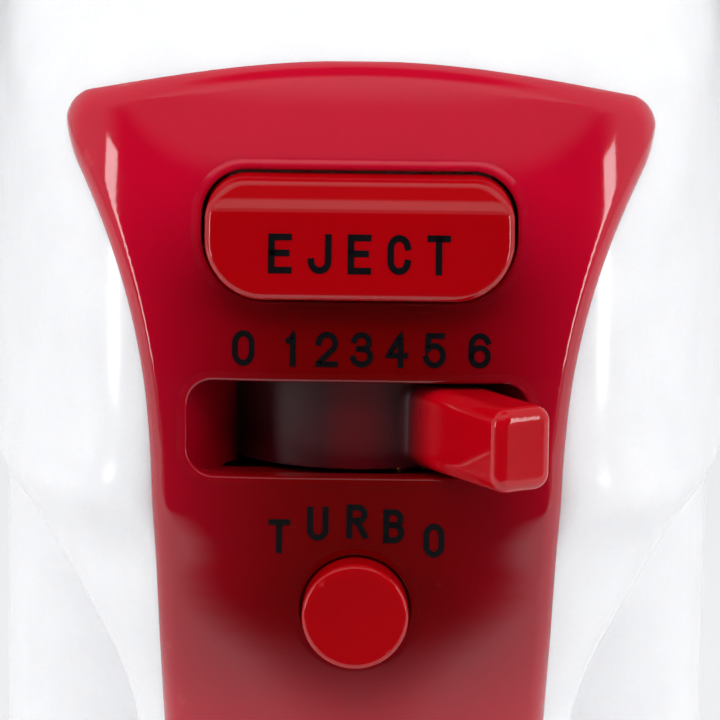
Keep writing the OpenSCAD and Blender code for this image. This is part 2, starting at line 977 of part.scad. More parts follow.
module motor_shaft() {
    color(steel)
        union() {
            z_rod(0, 0, 24.5, 138.5, shaft_r, $fn = 64);
            z_rod(0, 0, 138.5, 180, worm_shaft_r, $fn = 64);
        }
}

module cooling_fan() {
    vanes = 10;
    color([0.90, 0.90, 0.88])
        difference() {
            union() {
                z_rod(0, 0, fan_low, fan_high, 8, $fn = 64);
                z_rod(0, 0, fan_low, fan_low + 1.6, fan_r, $fn = 96);
                for (i = [0 : vanes - 1])
                    rotate([0, 0, 360 / vanes * i])
                        box([7, -0.8, fan_low], [fan_r - 1, 0.8, fan_high]);
            }
            z_rod(0, 0, fan_low - 1, fan_high + 1, shaft_r, $fn = 64);
        }
}

// Worm with two starts: each start is a trapezoid in the cross section, turned along the axis
module worm_screw() {
    rings = [[3.1, 48], [4, 34.4], [4.8, 22]];
    profile = [
        for (start = [0, 180])
            each concat(
                [for (ring = rings) [ring[0] * cos(start - ring[1]), ring[0] * sin(start - ring[1])]],
                [for (i = [2 : -1 : 0])
                    [rings[i][0] * cos(start + rings[i][1]), rings[i][0] * sin(start + rings[i][1])]],
                [for (a = [66, 90, 114]) [3.1 * cos(start + a), 3.1 * sin(start + a)]]
            )
    ];
    height = worm_high - worm_low;
    color(steel)
        difference() {
            translate([0, 0, worm_low])
                rotate([0, 0, worm_phase])
                    linear_extrude(height, twist = -360 * height / worm_lead, slices = 56)
                    polygon(profile);
            z_rod(0, 0, worm_low - 1, worm_high + 1, worm_shaft_r, $fn = 48);
        }
}

module worm_end_bush() {
    color([0.72, 0.55, 0.30])
        difference() {
            z_rod(0, 0, 170.5, 177.5, 5, $fn = 64);
            z_rod(0, 0, 169, 179, worm_shaft_r + run_gap, $fn = 64);
        }
}

module gearbox_frame() {
    color([0.70, 0.71, 0.73])
        difference() {
            union() {
                box([-34.5, -12, 127], [34.5, -8, 179]);
                mirrored_x()
                    for (z = frame_post_z)
                        y_rod(frame_post_x, z, -9, frame_post_y, 3.5, $fn = 32);
                box([-8, -9, 170.5], [8, 7, 177.5]);
            }
            mirrored_x() {
                y_rod(gear_x, gear_z, -20, 0, spindle_bush_r, $fn = 64);
                for (z = frame_post_z)
                    y_rod(frame_post_x, z, -20, 30, 1.6, $fn = 24);
            }
            z_rod(0, 0, 160, 190, 5, $fn = 64);
        }
}

// Tooth outline as polar angles at the root, pitch and tip circles
function tooth(i) = let (a = 360 / gear_teeth * i, root = 3.63, mid = 2.33, tip = 1.58) [
    for (p = [[gear_root_r, -root], [gear_pitch_r, -mid], [gear_tip_r, -tip],
        [gear_tip_r, tip], [gear_pitch_r, mid], [gear_root_r, root]])
        [p[0] * cos(a + p[1]), p[0] * sin(a + p[1])]
];

// The gear's axis is along +Y. The teeth lean to follow the worm's lead.
module worm_wheel(slot_turn) {
    difference() {
        union() {
            rotate([-90, 0, 0])
                translate([0, 0, -gear_face / 2])
                    rotate([0, 0, -gear_twist / 2])
                        linear_extrude(gear_face, twist = -gear_twist, slices = 2)
                            polygon([for (i = [0 : gear_teeth - 1]) each tooth(i)]);
            y_rod(0, 0, hub_rear, hub_front, hub_r, $fn = 64);
        }
        y_rod(0, 0, hub_rear - 1, hub_front + 1, hub_bore, $fn = 64);
        for (turn = [0, 90])
            rotate([0, slot_turn + turn, 0]) box([-5.3, 19, -0.8], [5.3, hub_front + 1, 0.8]);
    }
}

module gear_right() {
    color([0.93, 0.92, 0.86]) translate([gear_x, 0, gear_z]) worm_wheel(45);
}

module gear_left() {
    color([0.93, 0.92, 0.86]) translate([-gear_x, 0, gear_z]) worm_wheel(0);
}

module spindle_bushes() {
    color([0.72, 0.55, 0.30])
        mirrored_x()
            for (y = [[-12, -8], [8.4, 16]])
                difference() {
                    y_rod(gear_x, gear_z, y[0], y[1], spindle_bush_r, $fn = 64);
                    y_rod(gear_x, gear_z, y[0] - 1, y[1] + 1, hub_r + run_gap, $fn = 64);
                }
}

module ejector_pin(side) {
    color(steel) y_rod(side * gear_x, gear_z, pin_top, shank_end - yoke_gap, shank_r - 0.06, $fn = 48);
}

module ejector_pin_left() {
    ejector_pin(-1);
}

module ejector_pin_right() {
    ejector_pin(1);
}

// A beater along +Y, on its own axis
module beater_shaft() {
    color(steel)
        union() {
            y_rod(0, 0, shank_end, 66, shank_r, $fn = 64);
            y_rod(0, 0, 56, 67, ferrule_r, $fn = 64);
            for (turn = [0, 90])
                rotate([0, turn, 0]) box([-5, 22, -0.6], [5, 30, 0.6]);
            y_rod(0, 0, beater_tip - 6, beater_tip - 1.2, tip_ferrule_r, $fn = 64);
        }
}

// Middle line of a blade: a rounded leaf between the two ferrules
function blade_point(t, grow) = let (
        mid = (blade_start + beater_tip) / 2,
        half = (beater_tip - blade_start) / 2,
        lean = 1 + 0.12 * cos(t)
    ) [
        (beater_r - blade_t + grow) * pow(sin(t), 0.62) * lean / 1.02,
        mid - (half - blade_t + grow) * (cos(t) > 0 ? 1 : -1) * pow(abs(cos(t)), 0.86)
    ];

module beater_blades() {
    steps = [for (t = [0 : 6 : 180]) t];
    outline = concat(
        [for (t = steps) blade_point(t, blade_t)],
        [for (i = [len(steps) - 1 : -1 : 0]) blade_point(steps[i], 0)]
    );
    color(steel)
        difference() {
            for (turn = [0 : 90 : 270])
                rotate([0, turn, 0])
                    translate([0, 0, -blade_w / 2]) linear_extrude(blade_w) polygon(outline);
            y_rod(0, 0, 50, 67, ferrule_r, $fn = 64);
            y_rod(0, 0, beater_tip - 8, beater_tip + 2, tip_ferrule_r, $fn = 64);
        }
}

module beater_collar(r) {
    difference() {
        y_rod(0, 0, 42, 47, r, $fn = 64);
        y_rod(0, 0, 41, 48, shank_r, $fn = 64);
    }
}

module left_beater() {
    translate([-gear_x, 0, gear_z]) children();
}

module right_beater() {
    translate([gear_x, 0, gear_z]) rotate([0, 45, 0]) children();
}

module beater_left_shaft() {
    left_beater() beater_shaft();
}

module beater_left_blades() {
    left_beater() beater_blades();
}

module beater_left_collar() {
    color(red_plastic) left_beater() beater_collar(6.2);
}

module beater_right_shaft() {
    right_beater() beater_shaft();
}

module beater_right_blades() {
    right_beater() beater_blades();
}

module beater_right_collar() {
    color(red_plastic) right_beater() beater_collar(9);
}

// A pan-head screw whose head is at head_y and whose shank runs towards -Y
module screw_y(x, z, head_y, length, r, head_r) {
    difference() {
        union() {
            y_rod(x, z, head_y - length, head_y, r, $fn = 24);
            y_rod(x, z, head_y - tiny, head_y + 1.8, head_r, $fn = 32);
        }
        translate([x, 0, z])
            for (turn = [0, 90])
                rotate([0, turn, 0])
                    box([-head_r * 0.6, head_y + 0.8, -0.35], [head_r * 0.6, head_y + 3, 0.35]);
    }
}

module housing_screws() {
    color(steel) {
        mirrored_x()
            for (z = pod_screw_z)
                screw_y(pod_screw_x, z, 22.1, 40, 1.5, 3);
        screw_y(0, nose_screw_z, 5.1, 24, 1.5, 3);
    }
}

module gearbox_screws() {
    color(steel)
        mirrored_x()
            for (z = frame_post_z)
                rotate([0, 0, 180]) screw_y(frame_post_x, z, 12, 32, 1.5, 3);
}

module handle_screws() {
    color(steel)
        for (z = handle_screw_z)
            screw_y(0, z, under_line(z) - 2, 18, 1.3, 2.8);
}

// A wire through a list of points
module wire(route, r) {
    for (i = [0 : len(route) - 2])
        hull() {
            for (end = [0, 1])
                translate(route[i + end]) sphere(r, $fn = 8);
        }
}

module motor_leads() {
    color([0.55, 0.10, 0.10])
        for (side = [-1, 1])
            wire(
                [[side * 6, -75, 35], [side * 6, -75, 41], [side * 9, -69.5, 50],
                    [side * 12, -68.6, 60], [side * 12, -68.6, 93], [side * 15, -67, 102],
                    [side * 24, -58, 115], [side * 33, -35, 123], [side * 32, -18, 121]],
                0.9
            );
}

upper_housing();
lower_housing();
handle_cover();
heel_pad();
cord_gland();
eject_button();
eject_yoke();
eject_spring();
eject_guide();
speed_lever();
lever_pivot_pin();
wiper_contact();
contact_board();
detent_spring();
switch_carrier();
turbo_button();
turbo_plunger();
turbo_spring();
turbo_switch();
control_board();
suppression_capacitor();
triac();
heat_sink();
choke();
terminal_block();
motor_stator();
field_coils();
motor_bolts();
rear_bearing_bracket();
front_bearing_bracket();
bearing_bushes();
brush_holders();
carbon_brushes();
armature_core();
armature_windings();
commutator();
commutator_hub();
motor_shaft();
cooling_fan();
worm_screw();
worm_end_bush();
gearbox_frame();
gear_left();
gear_right();
spindle_bushes();
ejector_pin_left();
ejector_pin_right();
beater_left_shaft();
beater_left_blades();
beater_left_collar();
beater_right_shaft();
beater_right_blades();
beater_right_collar();
housing_screws();
gearbox_screws();
handle_screws();
motor_leads();
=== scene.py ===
"""Looks of the hand mixer: moulded shells, controls, lettering, beaters, materials and light."""
import json
from functools import reduce
from math import ceil, copysign, cos, dist, hypot, pi, radians, sin, sqrt, tan

import bpy
import numpy as np
from mathutils import Matrix, Vector


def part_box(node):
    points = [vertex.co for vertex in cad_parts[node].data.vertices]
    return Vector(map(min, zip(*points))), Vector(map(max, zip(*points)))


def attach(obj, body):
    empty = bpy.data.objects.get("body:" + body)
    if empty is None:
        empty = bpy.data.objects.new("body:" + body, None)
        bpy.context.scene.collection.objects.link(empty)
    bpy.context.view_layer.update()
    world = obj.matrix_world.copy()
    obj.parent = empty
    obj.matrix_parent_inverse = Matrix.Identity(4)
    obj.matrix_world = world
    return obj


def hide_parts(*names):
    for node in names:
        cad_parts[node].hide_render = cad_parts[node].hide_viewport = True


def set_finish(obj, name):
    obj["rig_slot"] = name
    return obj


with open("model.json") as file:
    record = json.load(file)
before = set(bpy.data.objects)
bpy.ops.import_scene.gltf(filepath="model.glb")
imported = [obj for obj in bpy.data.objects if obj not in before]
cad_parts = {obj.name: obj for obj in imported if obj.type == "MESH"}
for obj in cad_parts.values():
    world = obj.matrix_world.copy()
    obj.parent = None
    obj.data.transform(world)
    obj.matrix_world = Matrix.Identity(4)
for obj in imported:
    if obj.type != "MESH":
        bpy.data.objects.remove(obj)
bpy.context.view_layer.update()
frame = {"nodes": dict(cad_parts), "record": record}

# Lengths below are in millimetres in the frame's axes; MM turns them into metres.
MM = 0.001
COARSE = 1.0

# ---- sizes, as in the CAD model
cover_low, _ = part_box("handle_cover")
button_low, button_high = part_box("eject_button")
turbo_low, turbo_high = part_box("turbo_button")
upper_low, upper_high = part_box("upper_housing")
_, lower_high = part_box("lower_housing")
drum_low, drum_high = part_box("speed_lever")

HEEL_FACE = upper_low[2] / MM
BODY_LEN = upper_high[2] / MM
POD_HALF_W = lower_high[0] / MM
POD_LOW = 36.0
POD_TOP = 30.0
WALL = 3.0
HANDLE_BACK = 92.5
GRIP_UNDER = 63.0
GRIP_HALF_W = 24.5
HEEL_LEN = 22.0
HEEL_EDGE_R = 5.0
NOSE_START = 165.0
NOSE_LEN = BODY_LEN - NOSE_START + 0.1
NOSE_EDGE_R = 1.2
CROWN_Z = 128.0
CROWN_LEN = BODY_LEN - CROWN_Z + 0.2
CROWN_DROP = 50.0
GRIP_BEND = 90.0
FLARE_LEN = 32.0
OPENING_REAR = 24.0
OPENING_REAR_R = 20.0
OPENING_FRONT_R = 25.0
OPENING_BEND = 88.0
PARTING_Y = -4.0
PARTING_GAP = 0.4

COVER_PROUD = 1.3
COVER_REAR = 26.0
COVER_FRONT = 171.5
COVER_ARC_R = 115.0
COVER_LOWEST = -72.5
CORNER_HALF_W = 33.45

EJECT_LOW = button_low[2] / MM
EJECT_HIGH = button_high[2] / MM
EJECT_Z = (EJECT_LOW + EJECT_HIGH) / 2
EJECT_HALF_W = button_high[0] / MM
EJECT_TOP_R = 4.6
EJECT_LOW_R = (EJECT_HIGH - EJECT_LOW) / 2 - 0.05
EJECT_FACE = 94.0
EJECT_TILT = radians(13)
CHAMFER_UP = 4.0
CHAMFER_TILT = radians(52)
TURBO_Z = (turbo_low[2] + turbo_high[2]) / 2 / MM
TURBO_R = turbo_high[0] / MM - 1
TURBO_FACE = -turbo_low[1] / MM

DRUM_Y = -74.5
DRUM_R = 16.0
DRUM_LOW = drum_low[2] / MM
DRUM_HIGH = drum_high[2] / MM
LEVER_SWING = radians(33)
LEVER_REACH = 34.0
LEVER_HALF_W = 3.7
SLOT_HALF_W = 19.1
SLOT_LOW = 126.2
SLOT_HIGH = 136.9
SLOT_R = 3.0

HOLE_GAP = 0.5
HOLE_WIDER = 0.45
TURBO_GAP = 0.2

GEAR_X = 20.0
GEAR_Z = 152.0


# ---- outline curves of the body
def heel_round(z):
    t = np.clip((HEEL_LEN - z) / HEEL_LEN, 0, 1)
    return 1 - np.sqrt(1 - t * t)


def nose_round(z):
    t = np.clip((z - NOSE_START) / NOSE_LEN, 0, 0.9999)
    return 1 - np.sqrt(1 - t * t)


def back_line(z):
    """The handle's back, as y at height z."""
    t = np.clip((z - CROWN_Z) / CROWN_LEN, 0, 0.9999)
    crown = CROWN_DROP * (1 - np.sqrt(1 - t * t))
    bend = 0.0012 * np.clip(CROWN_Z - np.maximum(z, GRIP_BEND), 0, None) ** 2
    slope = 0.0912 * np.clip(GRIP_BEND - z, 0, None)
    return -HANDLE_BACK + crown + bend + slope + HEEL_LEN * heel_round(z)


def front_line(z):
    return POD_LOW - 10 * heel_round(z) - 30 * nose_round(z)


def under_line(z):
    """The underside of the grip, which turns into the hood in front of the finger opening."""
    rear_y, root_y = -(GRIP_UNDER - 3), -(POD_TOP + 2)
    rear_end = OPENING_REAR + OPENING_REAR_R
    t = np.clip((rear_end - z) / OPENING_REAR_R, 0, 1)
    rear = root_y + (rear_y - root_y) * np.sqrt(1 - t * t)
    grip = rear_y - 3 * (z - rear_end) / (OPENING_BEND - rear_end)
    t = np.clip(z - OPENING_BEND, 0, OPENING_FRONT_R - 1)
    front = -(GRIP_UNDER - OPENING_FRONT_R) - np.sqrt(OPENING_FRONT_R ** 2 - t * t)
    rise = np.minimum(-45 + (z - OPENING_BEND - OPENING_FRONT_R + 1) * 8, front_line(z))
    line = np.where(z < rear_end, rear, np.where(z < OPENING_BEND, grip, front))
    line = np.where(z < OPENING_REAR, np.minimum(root_y + (OPENING_REAR - z) * 9, 5), line)
    return np.where(z < OPENING_BEND + OPENING_FRONT_R - 1, line, rise)


def upper_half_w(z):
    flare = 19 * (np.clip(z - GRIP_BEND, 0, None) / FLARE_LEN) ** 2.2
    wide = GRIP_HALF_W + 0.055 * (z - GRIP_BEND) + flare
    near = np.clip(4 - np.abs(wide - POD_HALF_W), 0, None)
    return np.minimum(wide, POD_HALF_W) - near ** 2 / 16 - 27 * nose_round(z) - 4 * heel_round(z)


def hood_share(z):
    t = np.clip((z - 110) / 14, 0, 1)
    return t * t * (3 - 2 * t)


def cover_half_w(z):
    return 21.65 + 0.048 * (z - 96.9) + 8.6 * (np.clip(z - 125, 0, None) / 36.5) ** 2.4


# ---- fields: negative inside
def round_max(a, b, r):
    """Intersection of two fields, with a fillet of radius r along their edge."""
    u, v = a + r, b + r
    corner = np.hypot(np.maximum(u, 0), np.maximum(v, 0))
    return np.minimum(np.maximum(u, v), 0) + corner - r


def round_min(a, b, r):
    return -round_max(-a, -b, r)


def rounded_section(x, y, half_w, back, front, share, n_back, n_front):
    """Distance to a rounded box section whose halves have their own exponents."""
    middle = back + share * (front - back)
    rear = y < middle
    depth = np.where(rear, middle - back, front - middle)
    n = np.where(rear, n_back, n_front)
    u = np.maximum(np.abs(x) / half_w, 1e-4)
    v = np.maximum(np.abs(y - middle) / depth, 1e-4)
    g = (u ** n + v ** n) ** (1 / n)
    slope = np.hypot((u / g) ** (n - 1) / half_w, (v / g) ** (n - 1) / depth)
    return (g - 1) / slope


def widest_line(z):
    """The y where the handle and the hood are widest at height z."""
    return back_line(z) + (0.5 + 0.242 * hood_share(z)) * (under_line(z) - back_line(z))


def upper_field(x, y, z):
    z = np.clip(z, HEEL_FACE, BODY_LEN)
    back, front = back_line(z), under_line(z)
    # The widest line is evened out over the bend in front of the finger opening.
    even = sum(widest_line(z + shift) for shift in (-6, -4, -2, 0, 2, 4, 6)) / 7
    weight = np.clip((z - 92) / 8, 0, 1) * np.clip((136 - z) / 8, 0, 1)
    widest = widest_line(z) * (1 - weight) + even * weight
    return rounded_section(
        x, y, upper_half_w(z), back, front, (widest - back) / (front - back),
        2.6 + 1.2 * np.clip((z - 95) / 27, 0, 1) - nose_round(z), 2.6 + 0.2 * hood_share(z),
    )


def pod_field(x, y, z):
    z = np.clip(z, HEEL_FACE, BODY_LEN)
    h = heel_round(z)
    inset = np.clip((z - 112) / 14, 0, 1) * 1.5
    field = rounded_section(
        x, y, POD_HALF_W - 13 * h - inset, -POD_TOP + 4 * h, front_line(z), 0.5, 2.8, 2.8)
    return np.maximum(field, z - 126)


def true_distance(field, x, y, z):
    """Scale a field that is true across the body so that it is also true along it."""
    step = 0.25
    middle = field(x, y, z)
    along = (field(x, y, z + step) - field(x, y, z - step)) / (2 * step)
    return middle / np.hypot(1, along)


def body_field(x, y, z):
    """The whole outer form: handle, hood, nose and motor housing as one blended surface."""
    upper = true_distance(upper_field, x, y, z)
    pod = true_distance(pod_field, x, y, z)
    fillet = 7 * np.clip((121 - z) / 12, 0, 1)
    body = round_min(upper, pod, fillet)
    body = round_max(body, HEEL_FACE - z, HEEL_EDGE_R)
    return round_max(body, z - BODY_LEN, NOSE_EDGE_R)


def outline_field(x, z):
    """Distance outside the cover's outline, seen from the handle side."""
    rise = (cover_half_w(z + 0.1) - cover_half_w(z - 0.1)) / 0.2
    side = (np.abs(x) - cover_half_w(z)) / np.hypot(1, rise)
    top = (z - COVER_FRONT + x * x / (2 * COVER_ARC_R)) / np.hypot(1, x / COVER_ARC_R)
    u = x / cover_half_w(COVER_REAR)
    v = (COVER_REAR - z) / 9
    rear = (np.hypot(u, v) - 1) * 9
    side = np.where(z < COVER_REAR, rear, side)
    side = round_max(side, np.abs(x) - CORNER_HALF_W, 1.5)
    return round_max(side, top, 2.9)


def least(*fields):
    """Union of fields."""
    return reduce(np.minimum, fields)


def most(*fields):
    """Intersection of fields."""
    return reduce(np.maximum, fields)


def box_field(x, z, half_w, low, high, r):
    """Distance to a box with rounded corners in x and z; r may differ from place to place."""
    return round_max(np.abs(x) - half_w, np.abs(z - (low + high) / 2) - (high - low) / 2, r)


def eject_outline(x, z, grow=0.0):
    r = np.where(z > EJECT_Z, EJECT_TOP_R, EJECT_LOW_R)
    return box_field(x, z, EJECT_HALF_W, EJECT_LOW, EJECT_HIGH, r) - grow


def slot_outline(x, z):
    return box_field(x, z, SLOT_HALF_W, SLOT_LOW, SLOT_HIGH, SLOT_R)


def cheek_field(x, y, z):
    """A sloping wall from each end of the slot to just outside the drum."""
    ax, ay, bx, by = 19.75, -91.4, 14.15, -83.6
    u, v = np.abs(x) - ax, y - ay
    dx, dy = bx - ax, by - ay
    t = np.clip((u * dx + v * dy) / (dx * dx + dy * dy), 0, 1)
    wall = np.hypot(u - t * dx, v - t * dy) - 0.6
    return most(wall, SLOT_LOW - 0.2 - z, z - SLOT_HIGH - 0.2)


def cover_field(x, y, z):
    body = body_field(x, y, z)
    outline = outline_field(x, z)
    solid = round_max(body - COVER_PROUD, outline - 0.15, 2.2)
    # The rim rests on the housing and the middle reaches below it.
    hollow = least(body + 1.4, most(body + 1.0, -1.1 - outline))
    solid = most(solid, y - COVER_LOWEST, -hollow)
    # Short walls behind the button hole and the slot
    button_wall = most(eject_outline(x, z, 2.6), y + 83.5)
    slot_wall = most(slot_outline(x, z) - 1.8, y + 86)
    solid = least(solid, most(least(button_wall, slot_wall), body + 0.3))
    # The openings are cut wide, and a bead forms the edge of each.
    for opening in (eject_outline(x, z, HOLE_GAP), slot_outline(x, z),
                    np.hypot(x, z - TURBO_Z) - TURBO_R - TURBO_GAP):
        solid = most(solid, HOLE_WIDER - opening)
    return least(solid, cheek_field(x, y, z))


def ledge_field(x, y, z, body):
    """What the cover's seat takes out of the housing: a ledge, and a window inside it."""
    outline = outline_field(x, z)
    seat = most(outline + 2.3, -(body + 1.5))
    return most(least(seat, outline + 3.2), y - COVER_LOWEST)


def screw_post(x, z, px, pz, r):
    return np.hypot(np.abs(x) - px, z - pz) - r


POD_SCREWS = [(36.5, 44.0), (36.5, 108.0)]
FRAME_POSTS = [(31.0, 130.0), (31.0, 176.0)]
NOSE_SCREW_Z = 187.0
GLAND_Y, GLAND_Z = -78.6, 7.4


def gland_hole(x, y, z):
    across = ((y - GLAND_Y) - (z - GLAND_Z)) * sqrt(0.5)
    along = -((y - GLAND_Y) + (z - GLAND_Z)) * sqrt(0.5)
    return most(np.hypot(x, across) - 7.05, -along - 20)


def vent_field(x, y, z, rows):
    slots = [np.hypot(y - row, np.clip(np.abs(z - 26) - 14, 0, None)) - 1.25 for row in rows]
    return most(least(*slots), 33 - np.abs(x))


def pad_pocket(x, y, z):
    """Pocket in the heel face for the rubber pad."""
    return most(box_field(x, y, 27.15, -21.15, 20.15, 8.15), z - 3.25)


def upper_housing_field(x, y, z):
    body = body_field(x, y, z)
    shell = most(body, -(body + WALL))
    bosses = least(
        *(screw_post(x, z, px, pz, 4.0) for px, pz in POD_SCREWS),
        most(np.hypot(x, z - NOSE_SCREW_Z) - 4, -60 - y))
    bosses = most(bosses, body + 1, -POD_TOP - y)
    shell = round_max(least(shell, bosses), y - (PARTING_Y - PARTING_GAP), 0.3)
    shell = round_max(shell, -vent_field(x, y, z, (-23, -18, -13, -8)), 0.4)
    shell = most(shell, -ledge_field(x, y, z, body))
    shell = most(shell, -gland_hole(x, y, z))
    for hole_z in (44.0, 100.0):
        grip_y = float(under_line(np.array(hole_z)))
        bore = np.hypot(x, z - hole_z)
        hole = least(most(bore - 3.2, grip_y - 2.1 - y), bore - 1.7)
        hole = most(hole, -70 - y, y + 50)
        shell = round_max(shell, -hole, 0.4)
    return most(shell, -pad_pocket(x, y, z))


def lower_housing_field(x, y, z):
    body = body_field(x, y, z)
    shell = most(body, -(body + WALL))
    bosses = least(
        *(screw_post(x, z, px, pz, 4.0) for px, pz in POD_SCREWS),
        *(most(screw_post(x, z, px, pz, 3.5), 15.2 - y) for px, pz in FRAME_POSTS),
        np.hypot(x, z - NOSE_SCREW_Z) - 4)
    shell = least(shell, most(bosses, body + 1))
    bore = np.hypot(np.abs(x) - GEAR_X, z - GEAR_Z)
    socket = round_max(most(bore - 11, 8.2 - y), y - 41, 1.2)
    shell = round_min(shell, socket, 1.5)
    shell = round_max(shell, PARTING_Y - y, 0.3)
    shell = round_max(shell, -(bore - 7.3), 0.6)
    shell = most(shell, -most(bore - 9.1, y - 16.2))
    shell = round_max(shell, -vent_field(x, y, z, (1, 7, 13, 19, 25)), 0.4)
    for px, pz, seat_y in [(*place, 22) for place in POD_SCREWS] + [(0, NOSE_SCREW_Z, 5)]:
        head = most(screw_post(x, z, px, pz, 3.4), seat_y - y)
        shell = round_max(shell, -least(head, screw_post(x, z, px, pz, 1.9)), 0.5)
    return most(shell, -pad_pocket(x, y, z))


def eject_button_field(x, y, z):
    outline = eject_outline(x, z)
    up = z - EJECT_Z
    face = -(y + EJECT_FACE) * cos(EJECT_TILT) + up * sin(EJECT_TILT)
    edge_y = -EJECT_FACE + CHAMFER_UP * tan(EJECT_TILT)
    chamfer = -(y - edge_y) * cos(CHAMFER_TILT) + (up - CHAMFER_UP) * sin(CHAMFER_TILT)
    front = round_max(face, chamfer, 0.8)
    hollow = most(eject_outline(x, z, -1.8), -(y + 86.5))
    return most(round_max(outline, front, 1.15), y + 83, -hollow)


def lever_field(x, y, z):
    """The part drum, its hub and the arm, with the arm along -Y in its own frame."""
    c, s = cos(LEVER_SWING), sin(LEVER_SWING)
    dy = y - DRUM_Y
    u = x * c + dy * s
    v = -x * s + dy * c
    r = np.hypot(u, v)
    tall = most(DRUM_LOW - z, z - DRUM_HIGH)
    rim = most(r - DRUM_R, DRUM_R - 3 - r, tall)
    left_edge = (1.5 * u + 40 * v) / hypot(1.5, 40)
    right_edge = (40 * u + 22 * v) / hypot(40, 22)
    rim = round_max(rim, round_max(left_edge, right_edge, 0.1), 0.4)
    web = most(r - 10, DRUM_LOW - z, z - DRUM_LOW - 2.5)
    hub = most(r - 5, tall)
    spoke = most(np.abs(u) - 2, np.abs(v + 7.5) - 7.5, tall)
    mid_z = (DRUM_LOW + DRUM_HIGH) / 2
    across = np.abs(u) - LEVER_HALF_W
    tall_arm = np.abs(z - mid_z + 0.05) - (DRUM_HIGH - DRUM_LOW) / 2 + 0.25
    arm = round_max(across, tall_arm, 1.9)
    arm = round_max(arm, -(v + LEVER_REACH), 1.35)
    arm = most(arm, v + DRUM_R - 2)
    lever = round_min(least(rim, web, hub, spoke), arm, 0.8)
    bore = np.hypot(x, dy) - 2.56
    notches = [
        most(np.hypot(u - 10.6 * sin(a), v - 10.6 * cos(a)) - 1.3,
                   z - DRUM_LOW - 4)
        for a in (LEVER_SWING - i * LEVER_SWING / 3 for i in range(7))]
    return most(lever, -least(bore, *notches))


# ---- surface builder
def surface_net(field, low, high, step):
    """Vertices and quads of the surface where field is zero, in millimetres."""
    axes = [np.arange(a - 1.5 * step, b + 2.5 * step, step) for a, b in zip(low, high)]
    nx, ny, nz = (len(a) for a in axes)
    values = np.empty((nx, ny, nz), np.float32)
    for start in range(0, nz, 24):
        slab = slice(start, start + 24)
        x, y, z = np.meshgrid(axes[0], axes[1], axes[2][slab], indexing="ij", sparse=True)
        values[:, :, slab] = field(x, y, z)
    inside = values < 0
    cells, points, quads = [], [], []
    for axis in range(3):
        lower = [slice(None)] * 3
        upper = [slice(None)] * 3
        lower[axis], upper[axis] = slice(0, -1), slice(1, None)
        crossing = inside[tuple(lower)] != inside[tuple(upper)]
        where = np.argwhere(crossing)
        v0 = values[tuple(lower)][crossing]
        v1 = values[tuple(upper)][crossing]
        point = where.astype(float)
        point[:, axis] += v0 / (v0 - v1)
        u, v = [a for a in range(3) if a != axis]
        ring = []
        for du, dv in ((0, 0), (-1, 0), (-1, -1), (0, -1)):
            cell = where.copy()
            cell[:, u] += du
            cell[:, v] += dv
            ring.append((cell[:, 0] * ny + cell[:, 1]) * nz + cell[:, 2])
            cells.append(ring[-1])
            points.append(point)
        ring = np.stack(ring, 1)
        outward = (v0 < 0) != (axis == 1)
        quads.append(np.where(outward[:, None], ring, ring[:, ::-1]))
    cells, inverse = np.unique(np.concatenate(cells), return_inverse=True)
    origin = np.array([axis[0] for axis in axes])
    position = corner_points(field, origin + np.concatenate(points) * step, inverse, step)
    return position, np.searchsorted(cells, np.concatenate(quads))


def gradient(field, p):
    eps = 0.01
    columns = []
    for i in range(3):
        a, b = p.copy(), p.copy()
        a[:, i] += eps
        b[:, i] -= eps
        columns.append((field(*a.T) - field(*b.T)) / (2 * eps))
    return np.stack(columns, 1)


def corner_points(field, hits, cell, step):
    """One point for each cell, where the tangent planes at its edge crossings meet."""
    unique, back = np.unique(np.round(hits / (0.001 * step)), axis=0, return_inverse=True)
    unique = unique * (0.001 * step)
    slope = gradient(field, unique)
    slope /= np.maximum(np.linalg.norm(slope, axis=1), 1e-9)[:, None]
    normal = slope[back.ravel()]
    count = np.bincount(cell)

    def total(weights):
        return np.bincount(cell, weights=weights)

    middle = np.stack([total(hits[:, i]) / count for i in range(3)], 1)
    offset = np.sum(normal * (hits - middle[cell]), 1)
    matrix = np.empty((len(count), 3, 3))
    for i in range(3):
        for j in range(3):
            matrix[:, i, j] = total(normal[:, i] * normal[:, j])
    matrix += 0.06 * np.eye(3)
    right = np.stack([total(normal[:, i] * offset) for i in range(3)], 1)
    move = np.linalg.solve(matrix, right[:, :, None])[:, :, 0]
    far = np.maximum(np.linalg.norm(move, axis=1) / step, 1)
    point = middle + move / far[:, None]
    for _ in range(2):
        slope = gradient(field, point)
        length = np.maximum(np.sum(slope * slope, 1), 0.3)
        push = (field(*point.T) / length)[:, None] * slope
        far = np.maximum(np.linalg.norm(push, axis=1) / (0.3 * step), 1)
        point = point - push / far[:, None]
    return point


def smooth_object(name, mesh, angle):
    """An object in the scene, shaded smooth except at edges sharper than angle degrees."""
    mesh.validate()
    mesh.polygons.foreach_set("use_smooth", np.ones(len(mesh.polygons), bool))
    mesh.set_sharp_from_angle(angle=radians(angle))
    piece = bpy.data.objects.new(name, mesh)
    bpy.context.collection.objects.link(piece)
    return piece


def mesh_object(name, points, faces):
    """A mesh object from points in millimetres and faces of one size."""
    mesh = bpy.data.meshes.new(name)
    faces = np.asarray(faces, np.int32)
    corners = faces.shape[1]
    mesh.vertices.add(len(points))
    mesh.vertices.foreach_set("co", (points * MM).astype(np.float32).ravel())
    mesh.loops.add(faces.size)
    mesh.loops.foreach_set("vertex_index", faces.ravel())
    mesh.polygons.add(len(faces))
    mesh.polygons.foreach_set("loop_start", np.arange(len(faces), dtype=np.int32) * corners)
    mesh.update(calc_edges=True)
    return smooth_object(name, mesh, 45)


def stand_for(piece, node, body, slot):
    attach(piece, body)
    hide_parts(node)
    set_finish(piece, slot)
    return piece


